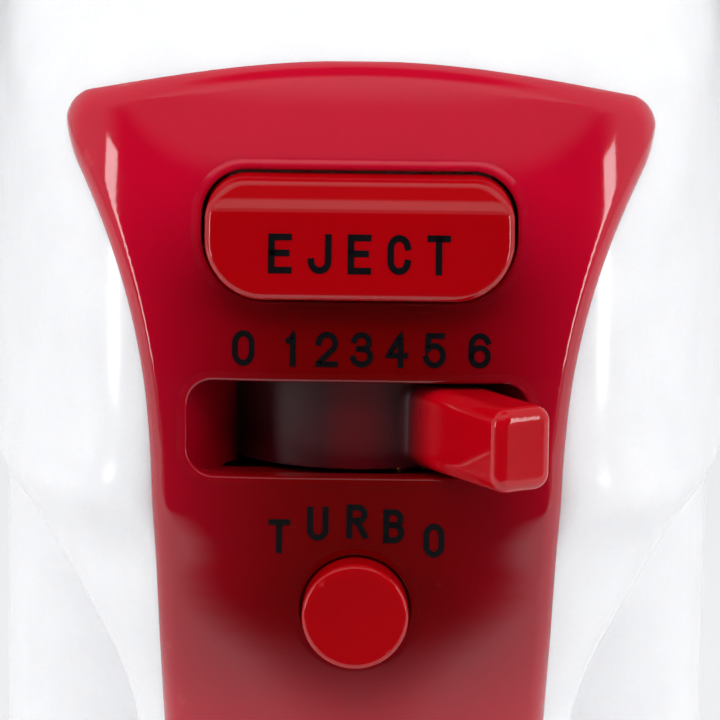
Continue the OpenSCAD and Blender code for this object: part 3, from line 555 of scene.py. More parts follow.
def shell_piece(name, node, body, slot, field, step):
    """A moulded piece from a field, standing for one CAD node and kept inside its box."""
    low, high = (np.array(corner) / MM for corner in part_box(node))
    points, quads = surface_net(field, low, high, step * COARSE)
    piece = mesh_object(name, np.clip(points, low, high), quads)
    return stand_for(piece, node, body, slot)


# ---- turned and swept pieces
def rounded_path(corners):
    """A path through (x, y, fillet) corners, with each corner rounded by its fillet."""
    path = []
    last = len(corners) - 1
    for i, (x, y, fillet) in enumerate(corners):
        here = Vector((x, y))
        if fillet == 0 or i in (0, last):
            path.append(here)
            continue
        before = Vector(corners[i - 1][:2]) - here
        after = Vector(corners[i + 1][:2]) - here
        start = here + before.normalized() * min(fillet, before.length / 2)
        end = here + after.normalized() * min(fillet, after.length / 2)
        for k in range(7):
            t = k / 6
            path.append(start * (1 - t) ** 2 + here * 2 * t * (1 - t) + end * t ** 2)
    return path


def turned_parts(corners, place, segments=96):
    """Points and faces turned about local Z of place, from (along, radius, fillet) corners."""
    segments = int(segments / COARSE)
    points, faces, rings = [], [], []
    for along, radius in rounded_path(corners):
        count = segments if radius > 1e-6 else 1
        rings.append(list(range(len(points), len(points) + count)))
        for i in range(count):
            a = 2 * pi * i / segments
            points.append(place @ Vector((radius * cos(a), radius * sin(a), along)))
    for a, b in zip(rings, rings[1:]):
        for i in range(segments):
            j = (i + 1) % segments
            corner = [a[i % len(a)], a[j % len(a)], b[j % len(b)], b[i % len(b)]]
            faces.append(list(dict.fromkeys(corner)))
    return points, [face for face in faces if len(face) > 2]


def polygon_object(name, points, faces, angle=35):
    mesh = bpy.data.meshes.new(name)
    mesh.from_pydata([tuple(Vector(p) * MM) for p in points], [], faces)
    return smooth_object(name, mesh, angle)


def turned(name, *shape):
    return polygon_object(name, *turned_parts(*shape))


def along_y(x, z, turn=0.0):
    """Place for a piece turned about an axis along +Y: local Z becomes Y."""
    return (Matrix.Translation((x, 0, z)) @ Matrix.Rotation(turn, 4, "Y")
            @ Matrix.Rotation(-pi / 2, 4, "X"))


def block(low, high, bevel, place):
    """Points and faces of a box with chamfered edges along its local Z."""
    (x0, y0, z0), (x1, y1, z1) = low, high
    outline = [(x0 + bevel, y0), (x1 - bevel, y0), (x1, y0 + bevel), (x1, y1 - bevel),
               (x1 - bevel, y1), (x0 + bevel, y1), (x0, y1 - bevel), (x0, y0 + bevel)]
    points = [place @ Vector((x, y, z)) for z in (z0, z1) for x, y in outline]
    faces = [list(range(7, -1, -1)), list(range(8, 16))]
    faces += [[i, (i + 1) % 8, 8 + (i + 1) % 8, 8 + i] for i in range(8)]
    return points, faces


def join_into(name, parts):
    """One mesh from several lists of points and faces."""
    points, faces = [], []
    for part_points, part_faces in parts:
        base = len(points)
        points += part_points
        faces += [[base + i for i in face] for face in part_faces]
    return polygon_object(name, points, faces)


BLADE_W = 5.5
BLADE_T = 1.2
BEATER_R = 22.0
BLADE_START = 58.0
BEATER_TIP = 159.0


def blade_point(t):
    """Middle line of a blade: radius and height along the beater's axis."""
    middle = (BLADE_START + BEATER_TIP) / 2
    half = (BEATER_TIP - BLADE_START) / 2 - 0.15
    lean = 1 + 0.12 * cos(t)
    radius = (BEATER_R - BLADE_T / 2) * max(sin(t), 0) ** 0.62 * lean / 1.02
    reach = (half - BLADE_T / 2) * copysign(abs(cos(t)) ** 0.86, cos(t))
    return radius, middle - reach


def blade_parts(turn):
    """A rounded strip along the blade's middle line, closed at both ends."""
    steps = int(72 / COARSE)
    line = [blade_point(pi * i / steps) for i in range(steps + 1)]
    half_w, half_t, r = BLADE_W / 2, BLADE_T / 2 - 0.02, 0.42
    section = []
    for sx, sy, start in ((1, 1, 0), (-1, 1, 90), (-1, -1, 180), (1, -1, 270)):
        for k in range(4):
            a = radians(start + 30 * k)
            section.append((sx * (half_w - r) + r * cos(a),
                            sy * (half_t - r) + r * sin(a)))
    points, faces = [], []
    n = len(section)
    for i, (radius, y) in enumerate(line):
        before, after = line[max(i - 1, 0)], line[min(i + 1, steps)]
        tangent = Vector((after[0] - before[0], after[1] - before[1])).normalized()
        normal = Vector((tangent.y, -tangent.x))
        for w, h in section:
            points.append(turn @ Vector((radius + normal.x * h, y + normal.y * h, w)))
    for i in range(steps):
        for k in range(n):
            a, b = i * n + k, i * n + (k + 1) % n
            faces.append([a, b, b + n, a + n])
    faces.append(list(range(n)))
    faces.append([steps * n + k for k in range(n - 1, -1, -1)])
    return points, faces


def beater(side, turn, collar_r):
    """Shaft, four blades and collar of one beater."""
    word = "left" if side < 0 else "right"
    body = word + "_beater"
    place = along_y(side * GEAR_X, GEAR_Z, turn)
    shank = turned_parts([
        (-10, 0, 0), (-10, 3, 0.7), (3.4, 3, 0.2), (3.9, 2.6, 0.3), (5.6, 2.6, 0.3),
        (6.1, 3, 0.2), (55.9, 3, 0.3), (56, 5.5, 0.9), (66.9, 5.5, 1.4), (67, 0, 0)], place)
    tip = turned_parts([
        (152.9, 0, 0), (153, 4, 0.9), (156.6, 4, 1.2), (157.8, 2.4, 1), (157.8, 0, 0)], place)
    wings = [block((-5, -0.6, 22), (5, 0.6, 30), 0.25, place @ Matrix.Rotation(angle, 4, "Z"))
             for angle in (0, pi / 2)]
    shaft = join_into("beater_shaft_" + word, [shank, tip] + wings)
    stand_for(shaft, f"beater_{word}_shaft", body, "chromed_steel")
    blades = join_into("beater_blades_" + word, [
        blade_parts(Matrix.Translation((side * GEAR_X, 0, GEAR_Z))
                    @ Matrix.Rotation(turn + i * pi / 2, 4, "Y")) for i in range(4)])
    stand_for(blades, f"beater_{word}_blades", body, "chromed_steel")
    r = collar_r
    collar = turned("beater_collar_" + word, [
        (42, 3.01, 0), (42, r, 0.6), (43.6, r, 0.3), (43.9, r - 0.5, 0.2), (45.1, r - 0.5, 0.2),
        (45.4, r, 0.3), (47, r, 0.6), (47, 3.01, 0), (42, 3.01, 0)], place)
    stand_for(collar, f"beater_{word}_collar", body, "red_collar_plastic")
    return shaft, blades, collar


# Height map of the cover's outer face
MAP_GAP = 0.25
map_x, map_z = np.meshgrid(
    np.arange(-30, 30.1, MAP_GAP), np.arange(86, 172, MAP_GAP), indexing="ij")
map_y = np.full_like(map_x, 6 - HANDLE_BACK - COVER_PROUD)
for _ in range(24):
    map_y = map_y + 0.8 * (body_field(map_x, map_y, map_z) - COVER_PROUD)


def on_cover(x, z, lift):
    """The point on the cover's face at x and z, raised by lift along its normal."""
    u, v = (x - map_x[0, 0]) / MAP_GAP, (z - map_z[0, 0]) / MAP_GAP
    i, j = int(u), int(v)
    u, v = u - i, v - j
    a, b, c, d = map_y[i, j], map_y[i + 1, j], map_y[i, j + 1], map_y[i + 1, j + 1]
    y = (a * (1 - u) + b * u) * (1 - v) + (c * (1 - u) + d * u) * v
    lean_x = ((b - a) * (1 - v) + (d - c) * v) / MAP_GAP
    lean_z = ((c - a) * (1 - u) + (d - b) * u) / MAP_GAP
    return Vector((x, y, z)) + Vector((lean_x, -1, lean_z)).normalized() * lift


def bead(name, outline, depth):
    """The rounded edge of an opening in the cover: outline is a closed path of (x, z)."""
    fillet, wide = 0.42, 1.15
    section = [(wide, 0.05), (wide - 0.05, -0.012)]
    section += [(fillet - fillet * sin(a), fillet - fillet * cos(a) - 0.012)
                for a in (radians(15 * k) for k in range(7))]
    section += [(0, depth), (wide, depth)]
    count, n = len(outline), len(section)
    points, faces = [], []
    for i, (x, z) in enumerate(outline):
        before, after = Vector(outline[i - 1]), Vector(outline[(i + 1) % count])
        along = (after - before).normalized()
        for w, deep in section:
            at = x - along.y * w, z + along.x * w
            foot = on_cover(*at, 0) + Vector((0, deep, 0))
            points.append(on_cover(*at, -deep) if deep < 1 else foot)
    for i in range(count):
        for k in range(n):
            a, b = i * n + k, i * n + (k + 1) % n
            c, d = (i + 1) % count * n + (k + 1) % n, (i + 1) % count * n + k
            faces.append([a, b, c, d])
    piece = polygon_object(name, points, faces, 50)
    piece["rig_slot"] = "red_gloss_plastic"
    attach(piece, "housing")
    return piece


def arc(cx, cy, rx, ry, start, end, steps=0):
    steps = steps or max(int(abs(end - start) / 12), 2)
    turns = [radians(start + (end - start) * i / steps) for i in range(steps + 1)]
    return [(cx + rx * cos(a), cy + ry * sin(a)) for a in turns]


def round_box_path(half_w, low, high, r_low, r_high, grow):
    """A closed path of (x, z), clockwise from the front, with its own top and bottom radii."""
    path = []
    for sx, z, r, start in ((1, high - r_high, r_high, 90), (1, low + r_low, r_low, 0),
                            (-1, low + r_low, r_low, -90), (-1, high - r_high, r_high, -180)):
        path += arc(sx * (half_w - r), z, r + grow, r + grow, start, start - 90, 12)
    fine = []
    for a, b in zip(path, path[1:] + path[:1]):
        gap = dist(a, b)
        steps = max(int(gap / (0.8 * COARSE)), 1)
        if gap > 0.01:
            fine += [(a[0] + (b[0] - a[0]) * i / steps, a[1] + (b[1] - a[1]) * i / steps)
                     for i in range(steps)]
    return fine


# ---- lettering
def ring(v):
    return [arc(0.5, v, 0.5, 1 - v, 0, 180) + arc(0.5, 1 - v, 0.5, 1 - v, 180, 360) + [(1, v)]]


# Strokes of each letter in a unit box, as the middle line of the stroke
LETTERS = {
    "E": [[(1, 1), (0, 1), (0, 0), (1, 0)], [(0, 0.52), (0.86, 0.52)]],
    "J": [[(1, 1)] + arc(0.5, 0.27, 0.5, 0.27, 0, -180)],
    "C": [arc(0.5, 0.7, 0.5, 0.3, 8, 180) + arc(0.5, 0.3, 0.5, 0.3, 180, 352)],
    "T": [[(0, 1), (1, 1)], [(0.5, 1), (0.5, 0)]],
    "U": [[(0, 1)] + arc(0.5, 0.29, 0.5, 0.29, 180, 360) + [(1, 1)]],
    "R": [[(0, 0), (0, 1), (0.5, 1)] + arc(0.52, 0.76, 0.46, 0.24, 80, -80) + [(0, 0.52)],
          [(0.5, 0.52), (1, 0)]],
    "B": [[(0, 0), (0, 1), (0.5, 1)] + arc(0.5, 0.77, 0.44, 0.23, 80, -80) + [(0, 0.54)],
          [(0.5, 0.54)] + arc(0.52, 0.27, 0.48, 0.27, 80, -80) + [(0, 0)]],
    "O": ring(0.68),
    "0": ring(0.66),
    "1": [[(0.12, 0.78), (0.42, 0.84), (0.62, 1), (0.62, 0)]],
    "2": [arc(0.5, 0.7, 0.5, 0.3, 175, -35) + [(0.02, 0.05), (0, 0), (1, 0)]],
    "3": [arc(0.48, 0.76, 0.45, 0.24, 165, -80) + [(0.32, 0.53)],
          [(0.4, 0.53)] + arc(0.48, 0.27, 0.52, 0.27, 75, -165)],
    "4": [[(0.72, 0), (0.72, 1), (0, 0.32), (1, 0.32)]],
    "5": [[(0.92, 1), (0.14, 1), (0.06, 0.5)] + arc(0.48, 0.33, 0.52, 0.33, 125, -165)],
    "6": [arc(0.5, 0.3, 0.5, 0.3, 0, 360), arc(0.52, 0.66, 0.52, 0.34, 25, 180) + [(0, 0.3)]],
}


def fine_line(line, gap):
    """The line with points added so that none are further apart than gap."""
    fine = [line[0]]
    for a, b in zip(line, line[1:]):
        count = max(int(ceil((b - a).length / gap)), 1)
        fine += [a.lerp(b, i / count) for i in range(1, count + 1)]
    return fine


INK_UP, INK_DOWN = 0.05, -0.1


def stroke_parts(line, half_w, lay):
    """A flat printed stroke along a line; lay maps (u, v, lift) to a point on the surface."""
    line = [Vector(p) for p in line]
    closed = (line[0] - line[-1]).length < 0.02
    if not closed:
        line[0] += (line[0] - line[1]).normalized() * half_w
        line[-1] += (line[-1] - line[-2]).normalized() * half_w
    line = fine_line(line, 0.35)
    left, right = [], []
    for i, here in enumerate(line):
        before = line[i - 1] if i else (line[-2] if closed else here)
        after = line[i + 1] if i + 1 < len(line) else (line[1] if closed else here)
        into = (here - before).normalized() if here != before else (after - here).normalized()
        out = (after - here).normalized() if here != after else into
        across = Vector((-(into.y + out.y), into.x + out.x)).normalized()
        normal = Vector((-into.y, into.x))
        reach = half_w / max(across.dot(normal), 0.6)
        left.append(here + across * reach)
        right.append(here - across * reach)
    points = []
    for a, b in zip(left, right):
        points += [lay(p.x, p.y, lift)
                   for p, lift in ((a, INK_UP), (b, INK_UP), (b, INK_DOWN), (a, INK_DOWN))]
    end = 4 * (len(line) - 1)
    faces = [[i + k, i + 4 + k, i + 4 + (k + 1) % 4, i + (k + 1) % 4]
             for i in range(0, end, 4) for k in range(4)]
    faces += [[0, 1, 2, 3], [end + 3, end + 2, end + 1, end]]
    return points, faces


def word_parts(items, width, height, weight, lay):
    """Strokes of several letters; items are (letter, x, z) with the letter's middle."""
    parts = []
    for letter, cx, cz in items:
        half_x, half_z = (width - weight) / 2, (height - weight) / 2
        wide = 0.55 if letter == "1" else 1
        for line in LETTERS[letter]:
            placed = [(cx + (2 * u - 1) * half_x * wide, cz + (2 * v - 1) * half_z)
                      for u, v in line]
            parts.append(stroke_parts(placed, weight / 2, lay))
    return parts


def on_button(x, z, lift):
    y = -EJECT_FACE + (z - EJECT_Z) * tan(EJECT_TILT)
    return Vector((x, y - lift, z))


# ---- materials
class Nodes:
    """Short calls that build a node tree."""

    def __init__(self, tree):
        self.tree = tree

    def add(self, kind, options=None, **inputs):
        node = self.tree.nodes.new("ShaderNode" + kind)
        for key, value in (options or {}).items():
            setattr(node, key, value)
        self.fill(node, **inputs)
        return node

    def fill(self, node, **inputs):
        for key, value in inputs.items():
            self.feed(value, node.inputs[key.replace("_", " ")])

    def feed(self, value, socket):
        if isinstance(value, bpy.types.NodeSocket):
            self.tree.links.new(value, socket)
        else:
            socket.default_value = value

    def maths(self, operation, a, b=0.0, clamp=False):
        node = self.add("Math", {"operation": operation, "use_clamp": clamp})
        self.feed(a, node.inputs[0])
        self.feed(b, node.inputs[1])
        return node.outputs[0]

    def times(self, a, b, clamp=False):
        return self.maths("MULTIPLY", a, b, clamp)

    def plus(self, a, b):
        return self.maths("ADD", a, b)

    def less(self, a, b):
        return self.maths("SUBTRACT", a, b)

    def ramp(self, value, low, high, start=0.0, end=1.0, kind="LINEAR"):
        return self.add("MapRange", {"interpolation_type": kind}, Value=value, From_Min=low,
                        From_Max=high, To_Min=start, To_Max=end).outputs["Result"]


class Finish(Nodes):
    """A procedural material on a Principled shader, in object coordinates."""

    def __init__(self, name, colour, rough, metallic=0.0, coat=0.0):
        self.material = bpy.data.materials.new(name)
        self.material.use_nodes = True
        self.material.diffuse_color = (*colour, 1)
        super().__init__(self.material.node_tree)
        self.shader = self.tree.nodes["Principled BSDF"]
        self.fill(self.shader, Metallic=metallic, Coat_Weight=coat, Coat_Roughness=0.04)
        self.colour = (*colour, 1)
        self.rough = rough
        self.height = 0.0
        self.place = self.add("TexCoord").outputs["Object"]

    def blend(self, factor, a, b):
        node = self.add("Mix", {"data_type": "RGBA"})
        for value, index in ((factor, 0), (a, 6), (b, 7)):
            self.feed(value, node.inputs[index])
        return node.outputs[2]

    def split(self):
        return self.add("SeparateXYZ", Vector=self.place).outputs

    def stretch(self, scale, turn=(0, 0, 0)):
        return self.add("Mapping", Vector=self.place, Scale=scale, Rotation=turn).outputs["Vector"]

    def noise(self, size, detail=2.0, place=None):
        """Noise from 0 to 1 with features of about the given size in millimetres."""
        return self.add("TexNoise", Vector=place or self.place, Scale=1 / (size * MM),
                        Detail=detail).outputs["Fac"]

    def rougher(self, mark, amount):
        self.rough = self.plus(self.rough, self.times(mark, amount))

    def raised(self, relief, depth):
        self.height = self.plus(self.height, self.times(relief, depth))

    def mottle(self, size, amount):
        """Colour a little lighter and darker in patches."""
        tone = self.ramp(self.noise(size, 3.0), 0.3, 0.7, 1 - amount, 1 + amount)
        node = self.add("VectorMath", {"operation": "SCALE"}, Scale=tone)
        flat = isinstance(self.colour, tuple)
        self.feed(self.colour[:3] if flat else self.colour, node.inputs[0])
        self.colour = node.outputs[0]
        return self

    def uneven(self, size, amount):
        """Roughness that varies in patches."""
        spread = self.ramp(self.noise(size, 3.0), 0.3, 0.7, -amount, amount)
        self.rough = self.plus(self.rough, spread)
        return self

    def grain(self, size, depth, detail=2.0):
        """Fine relief, with the size and depth in millimetres."""
        self.raised(self.noise(size, detail), depth)
        return self

    def brushed(self, size, amount, depth, stretch):
        """Drawn or ground lines along one axis."""
        lines = self.noise(size, 4.0, self.stretch(stretch))
        self.rough = self.plus(self.rough, self.ramp(lines, 0.3, 0.7, -amount, amount))
        self.raised(lines, depth)
        return self

    def hairlines(self, amount):
        """Sparse fine scratches from handling, in two directions."""
        for turn in ((0, 0, 0.5), (0.3, 1.2, 0)):
            line = self.noise(2.5, 1.0, self.stretch((1, 34, 5), turn))
            patch = self.ramp(self.noise(17), 0.5, 0.62)
            self.rougher(self.times(self.ramp(line, 0.71, 0.76), patch), amount)
        return self

    def dust(self, amount, colour=(0.75, 0.74, 0.72, 1), cell=3.1):
        """Sparse specks about a tenth of a millimetre wide."""
        node = self.add("TexVoronoi", Vector=self.place, Scale=1 / (cell * MM))
        near = self.ramp(node.outputs["Distance"], 0.02, 0.036, 1, 0)
        split = self.add("SeparateColor", Color=node.outputs["Color"])
        some = self.maths("GREATER_THAN", split.outputs[0], 1 - amount)
        speck = self.times(near, some, True)
        self.colour = self.blend(speck, self.colour, colour)
        self.rougher(speck, 0.5)
        return self

    def worn(self, colour, amount, rough=0.12):
        """Edges rubbed to another colour and roughness."""
        edge = self.ramp(self.add("NewGeometry").outputs["Pointiness"], 0.515, 0.6)
        broken = self.ramp(self.noise(1.6, 4.0), 0.35, 0.65)
        mask = self.times(edge, self.times(broken, amount), True)
        self.colour = self.blend(mask, self.colour, (*colour, 1))
        self.rougher(mask, rough)
        return self

    def painted_middle_shade(self, dark):
        """Painted shade: colour darker along the middle of the face, fading out towards its sides
        and ends.
        """
        x, _, z = self.split()
        edge = self.maths("POWER", self.ramp(self.maths("ABSOLUTE", x), 0, 0.027), 2.6)
        ends = self.times(self.ramp(z, 0.144, 0.159, 1, 0, "SMOOTHSTEP"),
                          self.ramp(z, 0.088, 0.112, 0.1, 1, "SMOOTHSTEP"))
        self.colour = self.blend(self.times(self.less(1.0, edge), ends), self.colour, dark)
        return self

    def painted_pocket_shade(self, face, depth, dark):
        """Painted shade: darker behind a given Y, as in the pocket of the slot, where the surface
        is also duller.
        """
        deep = self.ramp(self.split()["Y"], face, face + depth)
        self.colour = self.blend(deep, self.colour, dark)
        self.rougher(deep, 0.4)
        self.fill(self.shader, Coat_Weight=0)
        return self

    def done(self):
        bump = self.add("Bump", Height=self.height, Distance=MM, Strength=1.0)
        self.fill(self.shader, Base_Color=self.colour, Roughness=self.rough,
                  Normal=bump.outputs["Normal"])
        return self.material


def plastic_gloss(name, colour, rough, glow=(1.0, 0.9, 0.8)):
    finish = Finish(name, colour, rough, coat=0.2)
    finish.fill(finish.shader, Subsurface_Weight=0.3, Subsurface_Radius=glow,
                Subsurface_Scale=3 * MM)
    finish.mottle(9, 0.025).mottle(0.5, 0.012).uneven(6, 0.025)
    return finish.grain(3.2, 0.0018).grain(0.35, 0.0003)


def moulded(name, colour, rough=0.5):
    finish = Finish(name, colour, rough)
    finish.mottle(5, 0.08).uneven(1.2, 0.07)
    return finish.grain(0.22, 0.012, 3.0)


def metal(name, colour, rough, stretch=(1, 1, 1), size=0.5):
    finish = Finish(name, colour, rough, metallic=1.0)
    return finish.mottle(7, 0.06).brushed(size, 0.09, 0.0025, stretch)


RED = (0.52, 0.0012, 0.022)
RED_GLOW = (1.0, 0.04, 0.03)
# Colour of the painted shade along the middle of the cover
MIDDLE_SHADE_RED = (0.14, 0.0001, 0.0003, 1)
# Colour of the painted shade on the drum deep in the slot
DRUM_SHADE_RED = (0.045, 0.0002, 0.003, 1)
WHITE = (0.90, 0.90, 0.915)


def red_plastic(name, colour):
    finish = plastic_gloss(name, colour, 0.07, RED_GLOW)
    return finish.hairlines(0.16).dust(0.05).worn((0.68, 0.07, 0.08), 0.3)


finishes = {
    "white_gloss_plastic": plastic_gloss("white_gloss", WHITE, 0.17).hairlines(0.18)
    .dust(0.02, (0.55, 0.54, 0.52, 1), 5.0).worn((0.8, 0.8, 0.79), 0.5),
    # The cover's red carries painted shade along its middle.
    "red_gloss_plastic": red_plastic("red_cover", RED).painted_middle_shade(MIDDLE_SHADE_RED),
    "red_collar_plastic": Finish("red_satin", (0.55, 0.006, 0.015), 0.3).mottle(3, 0.05)
    .uneven(1, 0.06).grain(0.3, 0.004).worn((0.7, 0.12, 0.12), 0.5),
    "heel_rubber": Finish("grey_rubber", (0.075, 0.076, 0.08), 0.72).mottle(6, 0.14)
    .uneven(2, 0.08).grain(0.35, 0.03, 4.0).dust(0.12, cell=1.7).worn((0.2, 0.2, 0.2), 0.6, 0.1),
    "black_plastic": moulded("black_nylon", (0.022, 0.022, 0.024)).worn((0.1, 0.1, 0.1), 0.7),
    "spring_steel": metal("spring_wire", (0.42, 0.43, 0.45), 0.26, (1, 9, 1)),
    "bright_steel": metal("ground_steel", (0.56, 0.57, 0.59), 0.22, (1, 1, 18))
    .worn((0.75, 0.75, 0.76), 0.6),
    "chromed_steel": Finish("chromed_steel", (0.66, 0.67, 0.69), 0.09, 1.0).mottle(11, 0.04)
    .uneven(4, 0.035).brushed(0.9, 0.03, 0.0008, (1, 14, 1)).hairlines(0.22),
    "zinc_screw": metal("zinc_plate", (0.50, 0.51, 0.52), 0.34).worn((0.7, 0.7, 0.7), 0.8),
    "copper": metal("copper_wire", (0.70, 0.27, 0.12), 0.3, (1, 1, 26), 0.7).grain(0.5, 0.03),
    "circuit_board": moulded("glass_epoxy", (0.012, 0.11, 0.045), 0.34).mottle(0.9, 0.2),
    "capacitor_case": moulded("yellow_case", (0.62, 0.40, 0.02), 0.3),
    "ferrite": moulded("ferrite", (0.06, 0.07, 0.065), 0.6).mottle(0.5, 0.25),
    "device_case": moulded("device_case", (0.02, 0.02, 0.022), 0.42),
    "cast_aluminium": metal("cast_aluminium", (0.55, 0.56, 0.58), 0.45).grain(0.4, 0.03),
    "ivory_plastic": moulded("ivory_nylon", (0.68, 0.66, 0.55), 0.42),
    "lamination_steel": metal("laminations", (0.30, 0.31, 0.33), 0.42, (1, 1, 40), 1.0)
    .grain(0.6, 0.05),
    "sintered_bronze": metal("sintered_bronze", (0.55, 0.36, 0.14), 0.5).grain(0.25, 0.03),
    "carbon": moulded("carbon_brush", (0.02, 0.02, 0.022), 0.5),
    "phenolic": moulded("phenolic", (0.12, 0.035, 0.015), 0.36),
    "wire_sleeve": moulded("wire_sleeve", (0.32, 0.012, 0.012), 0.4),
}
materials = {slot: finish.done() for slot, finish in finishes.items()}
button_red = red_plastic("red_button", (0.38, 0.0004, 0.003)).done()
lever_red = red_plastic("red_lever", (0.46, 0.0006, 0.006))
# The lever's drum, deep in the slot, gets painted shade.
lever_red = lever_red.painted_pocket_shade(-0.094, 0.004, DRUM_SHADE_RED).done()
ink = Finish("black_ink", (0.004, 0.003, 0.004), 0.4).mottle(0.6, 0.25).uneven(0.5, 0.08)
ink.fill(ink.shader, Specular_IOR_Level=0.15)
ink = ink.grain(0.15, 0.002).done()

for part in frame["record"]["subparts"]:
    node = frame["nodes"][part["node"]]
    node.data.materials.clear()
    node.data.materials.append(materials[part["material_slot"]])

# ---- pieces
pieces = [
    shell_piece("housing_upper", "upper_housing", "housing", "white_gloss_plastic",
                upper_housing_field, 1.15),
    shell_piece("housing_lower", "lower_housing", "housing", "white_gloss_plastic",
                lower_housing_field, 1.1),
    shell_piece("cover", "handle_cover", "housing", "red_gloss_plastic", cover_field, 0.45),
    shell_piece("button_eject", "eject_button", "eject_control", "red_gloss_plastic",
                eject_button_field, 0.28),
    shell_piece("lever_speed", "speed_lever", "speed_control", "red_gloss_plastic",
                lever_field, 0.3),
]

r = TURBO_R
button = turned("button_turbo", [
    (0.1 - TURBO_FACE, 0, 0), (0.08 - TURBO_FACE, r * 0.5, 0.5), (-TURBO_FACE, r - 1.2, 0.5),
    (-TURBO_FACE, r, 0.85), (-89.9, r, 0), (-89.9, r + 1, 0.15), (-89, r + 1, 0.15), (-89, 2, 0),
    (-86, 2, 0.2), (-86, 0, 0)], along_y(0, TURBO_Z), 128)
pieces.append(stand_for(button, "turbo_button", "turbo_control", "red_gloss_plastic"))


def pad_field(x, y, z):
    edge = box_field(x, y, 27, -21, 20, 8)
    pad = round_max(round_max(edge, z - 3.2, 0.6), -z, 0.8)
    lane = np.abs(np.mod(x + 3, 6) - 3)
    groove = most(lane - 0.8, z - 0.8, np.abs(y + 0.5) - 14.5, np.abs(x) - 17)
    return round_max(pad, -groove, 0.3)


pieces.append(shell_piece("pad_heel", "heel_pad", "housing", "heel_rubber", pad_field, 0.45))

gland_place = Matrix.Rotation(radians(135), 4, "X")
gland_place = Matrix.Translation((0, GLAND_Y, GLAND_Z)) @ gland_place
gland = turned("gland", [
    (-10, 3.6, 0), (-10, 8.5, 0.3), (-8, 8.5, 0.3), (-8, 6.9, 0), (-0.2, 6.9, 0.2),
    (0.1, 6.5, 0.2), (0.5, 6.5, 0.2), (0.8, 6.9, 0.2), (2, 6.9, 0.7), (2, 3.6, 0.5),
    (-10, 3.6, 0)], gland_place)
pieces.append(stand_for(gland, "cord_gland", "housing", "heel_rubber"))

for name, depth, box in (
        ("edge_eject", 3.2,
         (EJECT_HALF_W, EJECT_LOW, EJECT_HIGH, EJECT_LOW_R, EJECT_TOP_R, HOLE_GAP)),
        ("edge_slot", 2.4, (SLOT_HALF_W, SLOT_LOW, SLOT_HIGH, SLOT_R, SLOT_R, 0)),
        ("edge_turbo", 2.4, (r, TURBO_Z - r, TURBO_Z + r, r, r, TURBO_GAP))):
    pieces.append(bead(name, round_box_path(*box), depth))

pieces += beater(-1, 0.0, 6.2)
pieces += beater(1, pi / 4, 9.0)
controls = {"button_eject": button_red, "button_turbo": button_red, "lever_speed": lever_red}
for piece in pieces:
    piece.data.materials.append(controls.get(piece.name, materials[piece["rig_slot"]]))

eject_word = [(c, -8.8 + 4.4 * i, 151.6) for i, c in enumerate("EJECT")]
digits = list(zip("0123456", (-12.8, -7.4, -3.5, 0.4, 4.3, 8.5, 13.5), [140.6] * 7))
turbo_word = [("T", -8.6, 119.4), ("U", -4.3, 120.9), ("R", 0.1, 121.2), ("B", 4.2, 120.7),
              ("O", 8.7, 119.1)]
labels = [
    ("label_eject", word_parts(eject_word, 2.6, 4.3, 0.72, on_button), "eject_control"),
    ("label_speeds", word_parts(digits, 2.5, 3.9, 0.64, on_cover), "housing"),
    ("label_turbo", word_parts(turbo_word, 2.4, 3.9, 0.68, on_cover), "housing"),
]
for name, parts, body in labels:
    label = join_into(name, parts)
    label.data.materials.append(ink)
    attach(label, body)

# ---- stage, light and camera
scene = bpy.context.scene
FLOOR_R = 6.0
AIM = (0, -0.05, 0.12)

# Pale floor. Ahead of the mixer its paint turns dark for every ray but camera rays: a painted dark
# reflection, and painted shade in bounce light, standing in for the dark opening of a light tent.
paint = Finish("floor_paint", (0.80, 0.80, 0.81), 0.6).mottle(300, 0.02).uneven(90, 0.05)
paint.grain(2, 0.02)
floor_x, floor_y, _ = paint.split()
ahead = paint.less(-0.09, floor_y)
reach = paint.plus(paint.times(ahead, ahead), paint.maths("POWER", floor_x, 2.0))
reach = paint.maths("SQRT", reach)
facing = paint.maths("DIVIDE", ahead, reach)
limit = paint.plus(reach, paint.times(facing, 0.5))
# Painted dark zone, seen only in reflections and bounce light
dark_reflection_zone = paint.times(paint.ramp(limit, 0.69, 0.81, kind="SMOOTHSTEP"),
                   paint.ramp(facing, 0.15, 0.35))
unseen = paint.less(1.0, paint.add("LightPath").outputs["Is Camera Ray"])
paint.colour = paint.blend(paint.times(dark_reflection_zone, unseen), paint.colour, (0.012, 0.012, 0.013, 1))
rim = [(*place, 0) for place in arc(0, 0, FLOOR_R, FLOOR_R, 0, 355, 71)]
floor_mesh = bpy.data.meshes.new("floor")
floor_mesh.from_pydata(rim, [], [list(range(len(rim)))])
floor_mesh.materials.append(paint.done())
floor = bpy.data.objects.new("floor", floor_mesh)
scene.collection.objects.link(floor)

world = bpy.data.worlds.new("studio")
scene.world = world
world.use_nodes = True
sky = Nodes(world.node_tree)

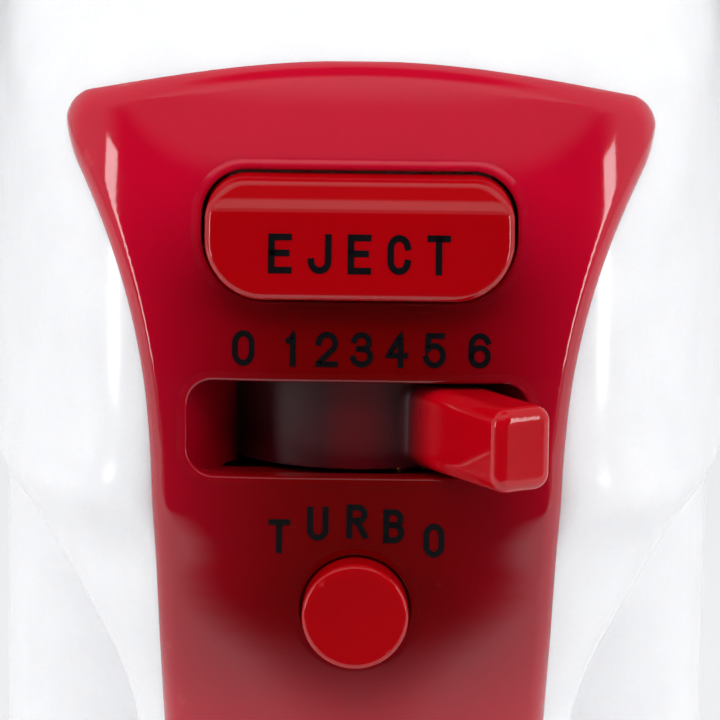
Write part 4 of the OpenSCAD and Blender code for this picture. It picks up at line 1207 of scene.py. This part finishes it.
# Even light all round; ahead of the mixer it is dark up to 28 degrees, then lit in bands.
direction = sky.add("TexCoord").outputs["Generated"]
_, sky_y, sky_z = sky.add("SeparateXYZ", Vector=direction).outputs
in_front = sky.ramp(sky_y, -0.25, -0.5, kind="SMOOTHSTEP")
bands = sky.add("ValToRGB")
levels = bands.color_ramp.elements
levels.remove(levels[1])
for position, level in ((0.47, 0.015), (0.53, 0.34), (0.66, 0.34), (0.71, 0.9), (1.0, 0.9)):
    levels.new(position).color = (level, level, level, 1)
levels[0].color = (0.015, 0.015, 0.015, 1)
sky.feed(sky_z, bands.inputs[0])
glow = sky.plus(sky.times(in_front, bands.outputs["Color"]),
                sky.times(sky.less(1.0, in_front), 0.6))
glow = sky.times(glow, sky.ramp(sky_z, 0.93, 0.98, 1.0, 0.08))
seen = sky.add("LightPath").outputs["Is Camera Ray"]
glow = sky.maths("MAXIMUM", glow, sky.times(seen, 0.8))
sky.fill(sky.tree.nodes["Background"], Strength=glow, Color=(0.97, 0.98, 1, 1))

for name, place, size, power, mirrored in (
        ("light_left", (-1.1, -0.62, 0.26), (0.15, 0.75), 2.6, True),
        ("light_right", (1.1, -0.62, 0.26), (0.15, 0.75), 2.6, True),
        ("light_top", (0, -0.75, 1.2), (1.3, 0.5), 9, False),
        ("light_back", (0, 1.1, 0.9), (1.2, 0.8), 4, True),
        ("fill_left", (-1.2, -0.5, 0.6), (0.9, 0.9), 5.5, False),
        ("fill_right", (1.2, -0.5, 0.6), (0.9, 0.9), 5.5, False)):
    lamp = bpy.data.lights.new(name, "AREA")
    lamp.shape = "RECTANGLE"
    lamp.size, lamp.size_y = size
    lamp.energy = power
    softbox = bpy.data.objects.new(name, lamp)
    scene.collection.objects.link(softbox)
    softbox.location = place
    softbox.rotation_euler = (Vector(AIM) - Vector(place)).to_track_quat("-Z", "Y").to_euler()
    softbox.visible_camera = False
    softbox.visible_glossy = mirrored

# The camera stands at the photograph's angle; turning it by ROLL levels the picture as there.
VIEW_RISE = radians(11)
VIEW_DISTANCE = 0.6
ROLL = radians(0.7)
target = Vector((0.0002, cover_low[1], 0.1396))
back = Vector((0, -cos(VIEW_RISE), sin(VIEW_RISE)))
lens = bpy.data.cameras.new("camera")
lens.sensor_width = 36
lens.lens = 270
lens.clip_start = 0.05
camera = bpy.data.objects.new("camera", lens)
scene.collection.objects.link(camera)
camera.location = target + back * VIEW_DISTANCE
camera.rotation_mode = "QUATERNION"
roll = Matrix.Rotation(ROLL, 4, "Z").to_quaternion()
camera.rotation_quaternion = back.to_track_quat("Z", "Y") @ roll
scene.camera = camera
scene.view_settings.view_transform = "Standard"
